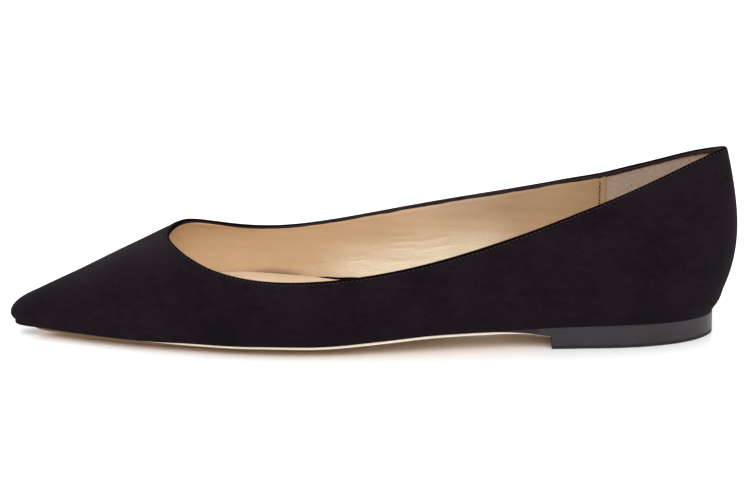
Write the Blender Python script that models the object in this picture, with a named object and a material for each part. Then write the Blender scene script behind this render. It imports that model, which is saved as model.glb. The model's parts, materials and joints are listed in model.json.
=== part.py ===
"""Pointed ballet flat for the left foot.

A suede upper is lasted over a padded insole. A thin leather outsole closes it from
the toe to the heel breast, and a low heel with a forward wing stands on a rubber
top piece.

X runs from the toe (minus) to the heel (plus), Y from the outer side of the foot
(minus) to the inner side (plus) and Z up from the floor. Tables and sizes are in
millimetres, and MM turns them into metres.
"""

from collections import namedtuple

import bpy
import numpy as np

MM = 0.001

# Driving dimensions
BOTTOM_LENGTH = 255.6
HEEL_POINT = 124.0
WALL = 1.8
TOPLINE_ROUND = 0.5
LASTING_MARGIN = 7.0
LASTING_REACH = 0.6
SPINE_FROM_TOE = 10.0
SPINE_FROM_HEEL = 15.0
BED_SAG = 0.0016
GAP = 0.3

SOLE_EDGE = 1.5
SOLE_INSET = 0.9
SOLE_SETBACK = 7.0
SETBACK_FROM = -88.0
SOLE_TIP_TURN = 0.012

WING_TIP = 51.0
WING_RAMP = 2.0
WING_THIN = 0.5
WING_THICK = 2.1
BREAST_TOP = 64.0
BREAST_FOOT = 65.0
HEEL_INSET = 0.5
HEEL_SPLAY = 0.26
TOP_PIECE = 1.1

INSOLE_CUP = 1.2
CUP_RUN = 12.0
INSOLE_SHORTENING = 0.3

# Fineness of the faceted solids
RING_STEPS = 96
RIB_STEPS = 11
SOLE_STRIPS = 10
INSOLE_STRIPS = 8
HEEL_STRIPS = 8
TOP_PIECE_STRIPS = 2
END_TURN = 0.004
PROBE = 0.001
SEARCH_CLIMB = 0.6
SEARCH_STEPS = 60
SHARP_DEGREES = 40.0

# Lower edge of the upper at stations from the back of the heel: half widths on the outer
# and inner side, their heights, the thickness of outsole and insole at the middle.
Station = namedtuple("Station", "name along lateral medial lateral_rise medial_rise sole insole")
LAST_BOTTOM = (
    Station("heel_back", 0.0, 0.0, 0.0, 7.0, 7.0, 0.6, 2.2),
    Station("heel_round", 14.0, 18.3, 18.3, 8.5, 8.5, 0.6, 2.4),
    Station("heel_seat", 35.0, 23.8, 23.6, 9.1, 9.2, 0.6, 2.6),
    Station("breast", 58.0, 25.0, 22.6, 8.8, 9.8, 0.6, 2.6),
    Station("waist", 90.0, 28.6, 21.5, 8.0, 10.2, 2.0, 1.8),
    Station("shank", 120.0, 33.2, 26.5, 6.6, 7.4, 2.3, 1.5),
    Station("outer_ball", 150.0, 35.2, 32.6, 4.7, 4.9, 2.9, 2.8),
    Station("inner_ball", 175.0, 33.0, 31.6, 4.3, 4.4, 2.9, 5.0),
    Station("toe_joint", 200.0, 27.3, 24.4, 3.7, 3.8, 2.6, 5.2),
    Station("toe_box", 225.0, 19.8, 13.8, 3.8, 3.8, 2.2, 3.0),
    Station("toe", 244.0, 12.0, 4.6, 4.1, 4.1, 1.8, 2.0),
    Station("tip", 255.6, 4.0, -4.0, 4.4, 4.4, 1.6, 1.6),
)

# Ribs of the upper, from the lower edge to the collar. foot_out and foot_up aim a rib as it
# leaves the lower edge, top_out and top_down aim it as it reaches the collar.
Rib = namedtuple("Rib", "name along collar_x collar_y collar_z foot_out foot_up top_out top_down")
RIBS_OUTER = (
    Rib("back", 0.0, 127.8, 0.0, 69.6, 10.6, 20.0, 9.2, 25.0),
    Rib("outer_heel", 26.0, 98.0, -18.5, 60.3, 6.5, 17.0, 7.0, 20.0),
    Rib("outer_breast", 70.5, 54.0, -28.5, 45.2, 5.0, 12.0, 2.5, 14.0),
    Rib("outer_waist", 114.5, 10.0, -34.5, 33.5, 4.0, 9.0, 1.5, 10.0),
    Rib("outer_ball", 159.0, -34.5, -34.0, 28.3, 3.5, 8.0, 2.5, 8.0),
    Rib("outer_vamp", 192.0, -58.5, -25.5, 30.3, 3.5, 8.0, 4.6, 6.5),
    Rib("outer_toe", 225.0, -70.5, -13.8, 33.9, 3.8, 8.4, 3.0, 9.6),
    Rib("outer_point", 244.0, -74.7, -6.6, 35.3, 5.6, 8.6, 1.5, 13.4),
    Rib("tip", 255.6, -75.9, 1.0, 35.7, 10.5, 8.6, 0.0, 16.6),
)
RIBS_INNER = (
    Rib("inner_point", 244.0, -74.7, 8.6, 36.9, 5.6, 8.6, 1.5, 14.2),
    Rib("inner_toe", 225.0, -70.8, 15.0, 37.9, 3.8, 8.4, 3.0, 10.6),
    Rib("inner_vamp", 192.0, -58.5, 26.3, 33.9, 3.5, 8.0, 4.6, 6.5),
    Rib("inner_ball", 159.0, -34.5, 32.0, 31.1, 3.5, 8.0, 2.5, 8.0),
    Rib("inner_waist", 114.5, 10.0, 30.0, 38.7, 4.0, 9.0, 1.5, 10.0),
    Rib("inner_breast", 70.5, 54.0, 26.0, 47.3, 5.0, 12.0, 2.5, 14.0),
    Rib("inner_heel", 26.0, 98.0, 18.5, 58.7, 6.5, 17.0, 7.0, 20.0),
)
RUN_SHARE = 0.70

UP = np.array((0.0, 0.0, 1.0))
LEVEL = np.array((1.0, 1.0, 0.0))


def turn(along):
    """Turn round the lower edge, 0 at the back of the heel and 1 at the tip of the toe."""
    return np.arccos(np.clip(1 - 2 * np.asarray(along) / BOTTOM_LENGTH, -1, 1)) / np.pi


def ring_curve(turns, rows):
    """Smooth closed curve through rows of values, round a ring of 2 turns."""
    turns = np.asarray(turns, float)
    rows = np.asarray(rows, float)
    count = len(turns)
    ends = np.append(turns, turns[0] + 2)
    spans = np.diff(ends)
    system = np.zeros((count, count))
    bends = np.zeros(rows.shape)
    for here in range(count):
        before = here - 1
        after = (here + 1) % count
        system[here, before] += spans[before]
        system[here, here] += 2 * (spans[before] + spans[here])
        system[here, after] += spans[here]
        rise = (rows[after] - rows[here]) / spans[here]
        fall = (rows[here] - rows[before]) / spans[before]
        bends[here] = 6 * (rise - fall)
    bends = np.linalg.solve(system, bends)

    def at(turns_round):
        place = np.asarray(turns_round, float) % 2
        left = np.clip(np.searchsorted(ends, place, side="right") - 1, 0, count - 1)
        right = (left + 1) % count
        span = spans[left][..., None]
        ahead = (place - ends[left])[..., None] / span
        behind = 1 - ahead
        chord = behind * rows[left] + ahead * rows[right]
        bow = (behind**3 - behind) * bends[left] + (ahead**3 - ahead) * bends[right]
        return chord + bow * span**2 / 6

    return at


def bottom_ring():
    """Curve of (Y, Z) of the lower edge round the ring: outer side forward, inner side back."""
    outer = [(turn(row.along), -row.lateral, row.lateral_rise) for row in LAST_BOTTOM]
    inner = [(2 - turn(row.along), row.medial, row.medial_rise) for row in LAST_BOTTOM[-2:0:-1]]
    table = np.array(outer + inner)
    return ring_curve(table[:, 0], table[:, 1:])


def rib_ring():
    """Curve of the rib table round the ring."""
    turns = [turn(rib.along) for rib in RIBS_OUTER] + [2 - turn(rib.along) for rib in RIBS_INNER]
    return ring_curve(turns, [rib[2:] for rib in RIBS_OUTER + RIBS_INNER])


bottom_at = bottom_ring()
rib_at = rib_ring()


def lower_edge(place):
    """Points of the upper's lower edge at places round the ring."""
    place = np.asarray(place, float) % 2
    x = HEEL_POINT - BOTTOM_LENGTH * (1 - np.cos(np.pi * place)) / 2
    return np.concatenate([x[..., None], bottom_at(place)], axis=-1)


def outward(place):
    """Level direction that points out of the lower edge."""
    along = lower_edge(place + PROBE) - lower_edge(place - PROBE)
    side = np.stack([-along[..., 1], along[..., 0], np.zeros(along.shape[:-1])], axis=-1)
    return side / np.linalg.norm(side, axis=-1, keepdims=True)


def wall(place, climb):
    """Outer face of the upper: climb runs from 0 at the lower edge to 1 at the collar."""
    place, climb = np.broadcast_arrays(np.asarray(place, float), np.asarray(climb, float))
    foot = lower_edge(place)
    out = outward(place)
    row = rib_at(place)
    collar = row[..., 0:3]
    low = foot + out * row[..., 3:4] + UP * row[..., 4:5]
    run = (foot - collar) * LEVEL * RUN_SHARE
    high = collar + run + out * row[..., 5:6] - UP * row[..., 6:7]
    up = climb[..., None]
    down = 1 - up
    return down**3 * foot + 3 * down**2 * up * low + 3 * down * up**2 * high + up**3 * collar


def wall_normal(place, climb):
    """Direction out of the upper's outer face."""
    low = np.maximum(climb - PROBE, 0)
    high = np.minimum(climb + PROBE, 1)
    round_ring = wall(place + PROBE, climb) - wall(place - PROBE, climb)
    rising = wall(place, high) - wall(place, low)
    normal = np.cross(rising, round_ring)
    return normal / np.linalg.norm(normal, axis=-1, keepdims=True)


def lining_face(place, climb):
    """Inner face of the upper, one wall thickness inside the outer face."""
    return wall(place, climb) - WALL * wall_normal(place, climb)


def bed_height(x, y):
    """Height of the lasted underside: a shallow arc that sags between its two edges."""
    place = turn(HEEL_POINT - x)
    outer = bottom_at(place)
    inner = bottom_at(2 - place)
    middle = (outer[..., 0] + inner[..., 0]) / 2
    half = np.maximum((inner[..., 0] - outer[..., 0]) / 2, GAP)
    across = np.clip((y - middle) / half, -1, 1)
    edge = (outer[..., 1] + inner[..., 1]) / 2 + across * (inner[..., 1] - outer[..., 1]) / 2
    return edge - BED_SAG * half**2 * (1 - across**2)


def inward(place, reach):
    """Points that lie reach inside the lower edge, towards a spine down the middle."""
    foot = lower_edge(place)
    toe_end = HEEL_POINT - BOTTOM_LENGTH + SPINE_FROM_TOE
    x = np.clip(foot[..., 0], toe_end, HEEL_POINT - SPINE_FROM_HEEL)
    station = turn(HEEL_POINT - x)
    y = (bottom_at(station)[..., 0] + bottom_at(2 - station)[..., 0]) / 2
    to_spine = np.stack([x, y, foot[..., 2]], axis=-1) - foot
    distance = np.linalg.norm(to_spine, axis=-1)
    share = np.minimum(reach / distance, LASTING_REACH)
    point = foot + to_spine * share[..., None]
    point[..., 2] = bed_height(point[..., 0], point[..., 1])
    return point


def climb_at_height(place, height):
    """Climb at which the inner face stands at a height, for each place."""
    climbs = np.linspace(0, SEARCH_CLIMB, SEARCH_STEPS + 1)
    heights = lining_face(place[:, None], climbs[None, :])[..., 2]
    return np.array([np.interp(level, row, climbs) for level, row in zip(height, heights)])


def ring_places():
    return np.arange(RING_STEPS) * 2 / RING_STEPS


def station_turns(first, last):
    """Turns of the cross rows of a plate, on the same stations as the upper's ribs."""
    inner = ring_places()
    inner = inner[(inner > first + END_TURN) & (inner < last - END_TURN)]
    return np.concatenate([[first], inner, [last]])


def mesh_object(name, points, faces, material):
    """Object of a closed mesh given in millimetres, with smooth faces and sharp edges."""
    mesh = bpy.data.meshes.new(name)
    mesh.from_pydata((np.asarray(points) * MM).tolist(), [], faces)
    mesh.validate()
    mesh.shade_smooth()
    mesh.set_sharp_from_angle(angle=np.radians(SHARP_DEGREES))
    mesh.materials.append(material)
    made = bpy.data.objects.new(name, mesh)
    bpy.context.scene.collection.objects.link(made)
    return made


def ring_solid(name, sections, material):
    """Solid swept round a closed ring, from one closed outline at each place."""
    places, corners = sections.shape[:2]
    faces = []
    for place in range(places):
        following = (place + 1) % places
        for corner in range(corners):
            after = (corner + 1) % corners
            faces.append((
                place * corners + corner,
                place * corners + after,
                following * corners + after,
                following * corners + corner,
            ))
    return mesh_object(name, sections.reshape(-1, 3), faces, material)


def plate_solid(name, top, underside, material):
    """Solid between two grids of points with the same rows and columns."""
    rows, columns = top.shape[:2]
    lower = rows * columns
    faces = []
    for row in range(rows - 1):
        for column in range(columns - 1):
            corner = row * columns + column
            quad = (corner, corner + 1, corner + columns + 1, corner + columns)
            faces.append(quad)
            faces.append(tuple(lower + point for point in reversed(quad)))
    border = list(range(columns))
    border += [row * columns + columns - 1 for row in range(1, rows)]
    border += [(rows - 1) * columns + column for column in range(columns - 2, -1, -1)]
    border += [row * columns for row in range(rows - 2, 0, -1)]
    for here, after in zip(border, border[1:] + border[:1]):
        faces.append((after, here, lower + here, lower + after))
    points = np.concatenate([top.reshape(-1, 3), underside.reshape(-1, 3)])
    return mesh_object(name, points, faces, material)


def across(outer_edge, inner_edge, strips):
    """Grid of rows from points of the outer edge to points of the inner edge."""
    shares = np.linspace(0, 1, strips + 1)[None, :, None]
    return outer_edge[:, None, :] * (1 - shares) + inner_edge[:, None, :] * shares


def belly(strips):
    """Share of the middle thickness across a row: 0 at both edges, 1 at the middle."""
    shares = np.linspace(-1, 1, strips + 1)
    return (1 - shares**2)[None, :]


def by_station(column, x):
    """Value of a column of the bottom table at X."""
    along = [row.along for row in LAST_BOTTOM]
    values = [getattr(row, column) for row in LAST_BOTTOM]
    return np.interp(HEEL_POINT - x, along, values)


def inset_edge(place, inset):
    """Points inside the lower edge by an inset that may change round the ring."""
    return lower_edge(place) - outward(place) * np.asarray(inset)[..., None]


def upper(material):
    """Hollow upper, open at the collar and, inside its lasting margin, underneath."""
    place = ring_places()
    foot = lower_edge(place)
    margin = inward(place, LASTING_MARGIN)
    climbs = np.linspace(0, 1, RIB_STEPS + 1)
    outer = wall(place[:, None], climbs[None, 1:])
    start = climb_at_height(place, foot[:, 2] + WALL)
    inner_climbs = start[:, None] + (1 - start[:, None]) * climbs[None, ::-1]
    inner = lining_face(place[:, None], inner_climbs)
    collar = outer[:, -1]
    rim = (collar + inner[:, 0]) / 2
    rising = collar - outer[:, -2]
    rim += TOPLINE_ROUND * rising / np.linalg.norm(rising, axis=-1, keepdims=True)
    sections = np.concatenate(
        [
            margin[:, None],
            foot[:, None],
            outer,
            rim[:, None],
            inner,
            (margin + UP * WALL)[:, None],
        ],
        axis=1,
    )
    return ring_solid("upper", sections, material)


def insole(material):
    """Padded sock on the lasting margin, cupped towards the sides, close to the lining."""
    place = station_turns(turn(INSOLE_SHORTENING), turn(BOTTOM_LENGTH - INSOLE_SHORTENING))
    edges_low = []
    edges_high = []
    for side in (place, 2 - place):
        foot = lower_edge(side)
        low = foot[:, 2] + WALL + GAP
        high = low + by_station("insole", foot[:, 0]) + INSOLE_CUP
        for level, edges in ((low, edges_low), (high, edges_high)):
            climb = climb_at_height(side, level)
            edges.append(lining_face(side, climb) - GAP * wall_normal(side, climb))
    underside = across(edges_low[0], edges_low[1], INSOLE_STRIPS)
    underside[..., 2] = bed_height(underside[..., 0], underside[..., 1]) + WALL + GAP
    top = across(edges_high[0], edges_high[1], INSOLE_STRIPS)
    half = np.linalg.norm(edges_high[1] - edges_high[0], axis=-1, keepdims=True) / 2
    top[..., 2] -= INSOLE_CUP * np.minimum(half / CUP_RUN, 1) * belly(INSOLE_STRIPS)
    return plate_solid("insole", top, underside, material)


def wing_depth(x):
    """Room that the heel's wing takes above the outsole, with its gap."""
    wedge = WING_THIN + (WING_THICK - WING_THIN) * (x - WING_TIP) / (BREAST_TOP - WING_TIP)
    ramp = np.clip((x - WING_TIP + WING_RAMP) / WING_RAMP, 0, 1)
    return ramp * (np.maximum(wedge, WING_THIN) + GAP)


def set_back(edge):
    """Edge of the outsole drawn back from the tip of the toe, more and more towards it."""
    toe_tip = HEEL_POINT - BOTTOM_LENGTH
    share = np.clip((SETBACK_FROM - edge[:, 0]) / (SETBACK_FROM - toe_tip), 0, 1)
    edge[:, 0] += SOLE_SETBACK * share**2
    return edge


def outsole(material):
    """Thin sole with its arch and toe spring, flat where the ball stands on the floor."""
    place = station_turns(turn(HEEL_POINT - BREAST_TOP + GAP), 1 - SOLE_TIP_TURN)
    edges = []
    for side in (place, 2 - place):
        edges.append(set_back(inset_edge(side, SOLE_INSET)))
    top = across(edges[0], edges[1], SOLE_STRIPS)
    top[..., 2] = bed_height(top[..., 0], top[..., 1]) - GAP - wing_depth(top[..., 0])
    middle = by_station("sole", top[..., 0])
    edge = np.minimum(middle, SOLE_EDGE)
    underside = top.copy()
    underside[..., 2] -= edge + (middle - edge) * belly(SOLE_STRIPS)
    underside[..., 2] = np.maximum(underside[..., 2], 0)
    return plate_solid("outsole", top, underside, material)


def heel_edge(place, depth):
    """Edge of the heel at a depth under the seat: its sides slope in, its back is upright."""
    out = outward(place)
    inset = HEEL_INSET + HEEL_SPLAY * depth * np.abs(out[:, 1])
    return inset_edge(place, inset)


def heel(material):
    """Low block under the seat, with the wing that runs forward between upper and outsole."""
    fixed = [turn(HEEL_POINT - x) for x in (BREAST_FOOT, BREAST_TOP)]
    back = station_turns(END_TURN, fixed[0])
    wing = station_turns(fixed[1], turn(HEEL_POINT - WING_TIP))
    place = np.concatenate([back, wing])
    in_wing = np.arange(len(place)) >= len(back)
    floor = TOP_PIECE + GAP
    edges_high = []
    edges_low = []
    for side in (place, 2 - place):
        foot = lower_edge(side)
        wing_height = wing_depth(foot[:, 0]) - GAP
        depth = np.where(in_wing, wing_height, foot[:, 2] - GAP - floor)
        edges_high.append(heel_edge(side, np.zeros(len(place))))
        edges_low.append(heel_edge(side, depth))
    top = across(edges_high[0], edges_high[1], HEEL_STRIPS)
    top[..., 2] = bed_height(top[..., 0], top[..., 1]) - GAP
    underside = across(edges_low[0], edges_low[1], HEEL_STRIPS)
    seat = bed_height(underside[..., 0], underside[..., 1]) - GAP
    wing_foot = seat - (wing_depth(underside[..., 0]) - GAP)
    underside[..., 2] = np.where(in_wing[:, None], wing_foot, floor)
    return plate_solid("heel", top, underside, material)


def heel_top_piece(material):
    """Flat wear piece under the heel."""
    place = station_turns(END_TURN, turn(HEEL_POINT - BREAST_FOOT))
    edges = []
    for side in (place, 2 - place):
        edges.append(heel_edge(side, lower_edge(side)[:, 2] - GAP - TOP_PIECE))
    top = across(edges[0], edges[1], TOP_PIECE_STRIPS)
    top[..., 2] = TOP_PIECE
    underside = top.copy()
    underside[..., 2] = 0
    return plate_solid("heel_top_piece", top, underside, material)


def finish(name, colour, roughness):
    """Plain material with a colour and a roughness."""
    material = bpy.data.materials.new(name)
    material.use_nodes = True
    shader = material.node_tree.nodes["Principled BSDF"]
    shader.inputs["Base Color"].default_value = (*colour, 1.0)
    shader.inputs["Roughness"].default_value = roughness
    shader.inputs["Metallic"].default_value = 0.0
    material.diffuse_color = (*colour, 1.0)
    return material


def clear_scene():
    for found in list(bpy.data.objects):
        bpy.data.objects.remove(found, do_unlink=True)


def main():
    clear_scene()
    pieces = [
        upper(finish("black_suede", (0.014, 0.011, 0.013), 0.95)),
        insole(finish("cream_leather", (0.76, 0.58, 0.40), 0.6)),
        outsole(finish("tan_sole_leather", (0.80, 0.63, 0.45), 0.55)),
        heel(finish("dyed_heel", (0.05, 0.045, 0.05), 0.4)),
        heel_top_piece(finish("black_rubber", (0.012, 0.012, 0.012), 0.7)),
    ]
    shell = np.array([corner[:] for corner in pieces[0].bound_box])
    middle = (shell.min(axis=0) + shell.max(axis=0)) / 2
    shoe = bpy.data.objects.new("ballet_flat", None)
    shoe.location = (-middle[0], -middle[1], 0)
    bpy.context.scene.collection.objects.link(shoe)
    for piece in pieces:
        piece.parent = shoe


main()
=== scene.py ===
"""Ballet flat for the left foot: suede, lining, stitches, insole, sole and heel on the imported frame.

X runs from the toe (minus) to the heel (plus), Y from the outer side of the foot (minus) to
the inner side (plus) and Z up from the floor. Tables and sizes in the code are in millimetres
on the last, MM turns them into metres, and settings in the panel are in metres.
"""

import json
from collections import namedtuple

import bpy
import numpy as np
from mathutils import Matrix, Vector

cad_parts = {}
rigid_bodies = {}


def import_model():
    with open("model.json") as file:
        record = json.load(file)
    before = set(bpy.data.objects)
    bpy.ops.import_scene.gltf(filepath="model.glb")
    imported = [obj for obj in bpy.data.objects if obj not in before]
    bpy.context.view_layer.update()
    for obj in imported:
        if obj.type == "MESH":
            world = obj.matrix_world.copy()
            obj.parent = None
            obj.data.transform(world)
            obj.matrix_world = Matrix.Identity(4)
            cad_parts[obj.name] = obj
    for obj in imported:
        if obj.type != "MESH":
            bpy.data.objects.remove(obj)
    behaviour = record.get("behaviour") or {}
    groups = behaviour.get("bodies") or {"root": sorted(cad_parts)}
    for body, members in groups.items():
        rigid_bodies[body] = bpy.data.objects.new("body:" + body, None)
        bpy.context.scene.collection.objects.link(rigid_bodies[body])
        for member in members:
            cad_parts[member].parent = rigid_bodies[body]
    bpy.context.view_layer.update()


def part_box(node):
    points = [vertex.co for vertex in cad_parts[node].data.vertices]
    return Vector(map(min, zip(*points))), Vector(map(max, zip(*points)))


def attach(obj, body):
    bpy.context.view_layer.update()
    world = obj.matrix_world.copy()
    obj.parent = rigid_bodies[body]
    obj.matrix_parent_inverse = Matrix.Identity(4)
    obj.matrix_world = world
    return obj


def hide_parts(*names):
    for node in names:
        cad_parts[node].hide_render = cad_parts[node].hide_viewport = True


for startup_object in list(bpy.data.objects):
    bpy.data.objects.remove(startup_object, do_unlink=True)
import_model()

bl_info = {
    "name": "Ballet flat",
    "version": (1, 0, 0),
    "blender": (4, 5, 0),
    "location": "3D View > Sidebar > Ballet flat",
    "description": "Makes the pieces of a pointed suede ballet flat and its studio stage",
    "category": "Object",
}

MM = 0.001

# The last, its bottom and the pieces under it
BOTTOM_LENGTH = 255.6
HEEL_POINT = 124.0
WALL = 1.8
LASTING_MARGIN = 7.0
LASTING_REACH = 0.6
SPINE_FROM_TOE = 10.0
SPINE_FROM_HEEL = 15.0
BED_SAG = 0.0016
GAP = 0.3
SOLE_EDGE = 1.5
SOLE_INSET = 0.9
SOLE_SETBACK = 5.0
SETBACK_FROM = -118.0
SOLE_TIP_TURN = 0.012
WING_TIP = 38.0
WING_END = 41.0
WING_THICK = 3.6
WING_CURVE = 1.7
WING_GAP = 0.06
WING_DULL = 59.5
SOLE_FIT = 0.12
BREAST_TOP = 64.0
BREAST_FOOT = 64.4
HEEL_INSET = 0.5
HEEL_BACK = 0.7
HEEL_SPLAY = 0.10
TOP_PIECE = 1.1
TOP_PIECE_FIT = 0.02
BREAST_LIP = 0.35
BREAST_LIP_RISE = 0.2
INSOLE_CUP = 1.2
CUP_RUN = 12.0
INSOLE_SHORTENING = 0.3
INSOLE_CLEARANCE = 0.15
END_TURN = 0.004
PROBE = 0.001
SEARCH_CLIMB = 0.6
SEARCH_STEPS = 60
RUN_SHARE = 0.70
FRAME_RING_STEPS = 96
FRAME_RIB_STEPS = 11

Station = namedtuple("Station", "name along lateral medial lateral_rise medial_rise sole insole")
LAST_BOTTOM = (
    Station("heel_back", 0.0, 0.0, 0.0, 8.3, 8.3, 0.6, 2.2),
    Station("heel_round", 14.0, 18.3, 18.3, 8.8, 8.8, 0.6, 2.4),
    Station("heel_seat", 35.0, 23.8, 23.6, 9.1, 9.2, 0.6, 2.6),
    Station("breast", 58.0, 25.0, 22.6, 8.65, 9.6, 0.6, 2.6),
    Station("waist", 90.0, 28.6, 21.5, 7.6, 10.0, 2.0, 1.8),
    Station("shank", 120.0, 33.2, 26.5, 6.15, 7.2, 2.3, 1.5),
    Station("outer_ball", 150.0, 35.2, 32.6, 4.7, 4.9, 2.9, 2.8),
    Station("inner_ball", 175.0, 33.0, 31.6, 4.3, 4.4, 2.9, 5.0),
    Station("toe_joint", 200.0, 27.3, 24.4, 3.7, 3.8, 2.6, 5.2),
    Station("toe_box", 225.0, 19.8, 13.8, 3.8, 3.8, 2.2, 3.0),
    Station("toe", 244.0, 12.0, 4.6, 4.1, 4.1, 1.8, 2.0),
    Station("tip", 255.6, 4.0, -4.0, 4.4, 4.4, 1.6, 1.6),
)

Rib = namedtuple("Rib", "name along collar_x collar_y collar_z foot_out foot_up top_out top_down")
RIBS_OUTER = (
    Rib("back", 0.0, 128.15, 0.0, 70.1, 11.6, 18.6, 9.2, 25.0),
    Rib("outer_heel", 26.0, 98.0, -18.5, 60.3, 6.5, 17.0, 7.0, 20.0),
    Rib("outer_breast", 70.5, 54.0, -28.5, 44.95, 5.0, 12.0, 2.5, 14.0),
    Rib("outer_waist", 114.5, 10.0, -34.5, 33.1, 4.0, 9.0, 1.5, 10.0),
    Rib("outer_ball", 159.0, -34.5, -34.0, 28.55, 3.5, 8.0, 2.5, 8.0),
    Rib("outer_vamp", 192.0, -58.5, -25.5, 30.8, 3.5, 8.0, 4.6, 6.5),
    Rib("outer_toe", 225.0, -70.75, -13.8, 34.5, 3.8, 8.4, 3.0, 9.6),
    Rib("outer_point", 244.0, -74.35, -6.6, 35.9, 5.6, 8.6, 1.5, 13.4),
    Rib("tip", 255.6, -75.9, 1.0, 36.3, 10.5, 8.6, 0.0, 16.6),
)
RIBS_INNER = (
    Rib("inner_point", 244.0, -74.7, 8.6, 37.3, 5.6, 8.6, 1.5, 14.2),
    Rib("inner_toe", 225.0, -70.8, 15.0, 38.25, 3.8, 8.4, 3.0, 10.6),
    Rib("inner_vamp", 192.0, -58.5, 26.3, 34.3, 3.5, 8.0, 4.6, 6.5),
    Rib("inner_ball", 159.0, -34.5, 32.0, 31.45, 3.5, 8.0, 2.5, 8.0),
    Rib("inner_waist", 114.5, 10.0, 30.0, 38.9, 4.0, 9.0, 1.5, 10.0),
    Rib("inner_breast", 70.5, 54.0, 26.0, 47.8, 5.0, 12.0, 2.5, 14.0),
    Rib("inner_heel", 26.0, 98.0, 18.5, 58.95, 6.5, 17.0, 7.0, 20.0),
)

# Fineness of the pieces
RING_STEPS = 640
PLATE_ROWS = 200
MARGIN_ROWS = 2
BEND_ROWS = 7
MIDDLE_ROWS = 40
ROLL_ROWS = 10
TURNED_ROWS = 7
SUEDE_BACK_ROWS = 16
LINING_ROWS = 84
LINING_BACK_ROWS = 10
GRIP_STEPS = 260
GRIP_ROWS = 40
INSOLE_COLUMNS = 28
SOLE_COLUMNS = 24
HEEL_ROWS = 90
WING_ROWS = 40
HEEL_COLUMNS = 16
TOP_PIECE_COLUMNS = 12
CORNER_STEPS = 6
THREAD_SIDES = 8
STITCH_SAMPLES = 4000
FOOT_RISES = (0.8, 1.1, 1.4, 1.7, 2.0, 2.4, 2.8, 3.3, 4.0)
TOP_DROPS = (
    *(5.0, 4.4, 3.9, 3.4, 3.0, 2.7, 2.4, 2.1, 1.85, 1.65, 1.5, 1.35, 1.2, 1.1, 1.0),
    *(0.85, 0.7, 0.55, 0.4, 0.25, 0.1, 0.0),
)
RIB_SAMPLES = np.linspace(0, 1, 121)
SHARP_DEGREES = 50.0
LONGEST_ARM = 0.45
WIDEST_BORDER = 0.2
TINY = 1e-6

# Depths under the suede's outer face
SUEDE_THICKNESS = 1.0
LINING_BACK = 1.05
LINING_FACE = 1.75
GRIP_FACE = 1.4

# Feather edge, where the suede bends under the shoe, and the foot of the lining inside it
FEATHER_BEND = 0.4
FEATHER_TUCK = 0.6
FEATHER_DROP = 0.3
FEATHER_TUCK_SHARE = 0.6
TOE_LIP = (-0.55, 0.0, -0.4)
TONGUE = 8.0
TONGUE_OVER = 0.2
LINING_FOOT_GAP = 0.1

# Topline: its roll and thickness by place, and the rows of suede under it that are darkened as painted
# shade
ROLL_AT_BACK = 0.4
THICKER_AT_BACK = 0.3
THINNER_AT_THROAT = 0.3
FAR_THROAT_CURVE = 0.28
NEAR_COLLAR = 0.985
LEAST_TURNED = 0.05
TURNED_THINNING = 0.25
SHADED_ROWS = 2
SHADED_ROWS_AT_THROAT = 4
THROAT_X = -50.0
THREAD_PROUD = 0.30

# Suede turned in over the topline: its width inside the collar by X of the collar
TURNED_X = (-76, -66, -55, -40, -25, -10, 9, 27, 65, 80, 95, 108, 115, 121, 125, 128)
TURNED_EDGE = (1.5, 1.4, 0.36, 0.35, 0.62, 0.9, 1.55, 1.5, 1.5, 1.6, 1.3, 0.9, 0.7, 0.85, 1.2, 2.0)

# Top of the lining under the collar, by X of the collar
LINING_TOP_X = (-76.5, -74.4, -71.4, -67.7, -65.8, -62.0, -57.0)
LINING_TOP = (0.75, 1.15, 1.35, 1.28, 1.10, 0.85, 0.60)

# Soft forms in the suede and the lining, in a side view: ends in X and Z, half width, height.
# Troughs have a height below 0.
Crease = namedtuple("Crease", "name side start end width height")
SUEDE_CREASES = (
    Crease("counter_front_outer", "outer", (61.0, 15.0), (67.0, 46.0), 7.0, -0.22),
    Crease("counter_front_inner", "inner", (60.0, 15.0), (66.0, 46.0), 7.0, -0.22),
    Crease("ball_bend_outer", "outer", (-46.0, 9.0), (-40.0, 25.0), 5.0, -0.16),
    Crease("ball_swell_outer", "outer", (-57.0, 10.0), (-51.0, 25.0), 6.0, 0.14),
    Crease("ball_bend_inner", "inner", (-42.0, 9.0), (-37.0, 27.0), 5.0, -0.16),
    Crease("ball_swell_inner", "inner", (-54.0, 10.0), (-49.0, 27.0), 6.0, 0.14),
    Crease("toe_side_outer", "outer", (-117.0, 11.5), (-94.0, 14.0), 4.0, -0.14),
    Crease("waist_pull_outer", "outer", (2.0, 13.0), (34.0, 21.0), 5.0, -0.14),
    Crease("waist_pull_inner", "inner", (4.0, 16.0), (34.0, 24.0), 5.0, -0.14),
)
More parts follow.
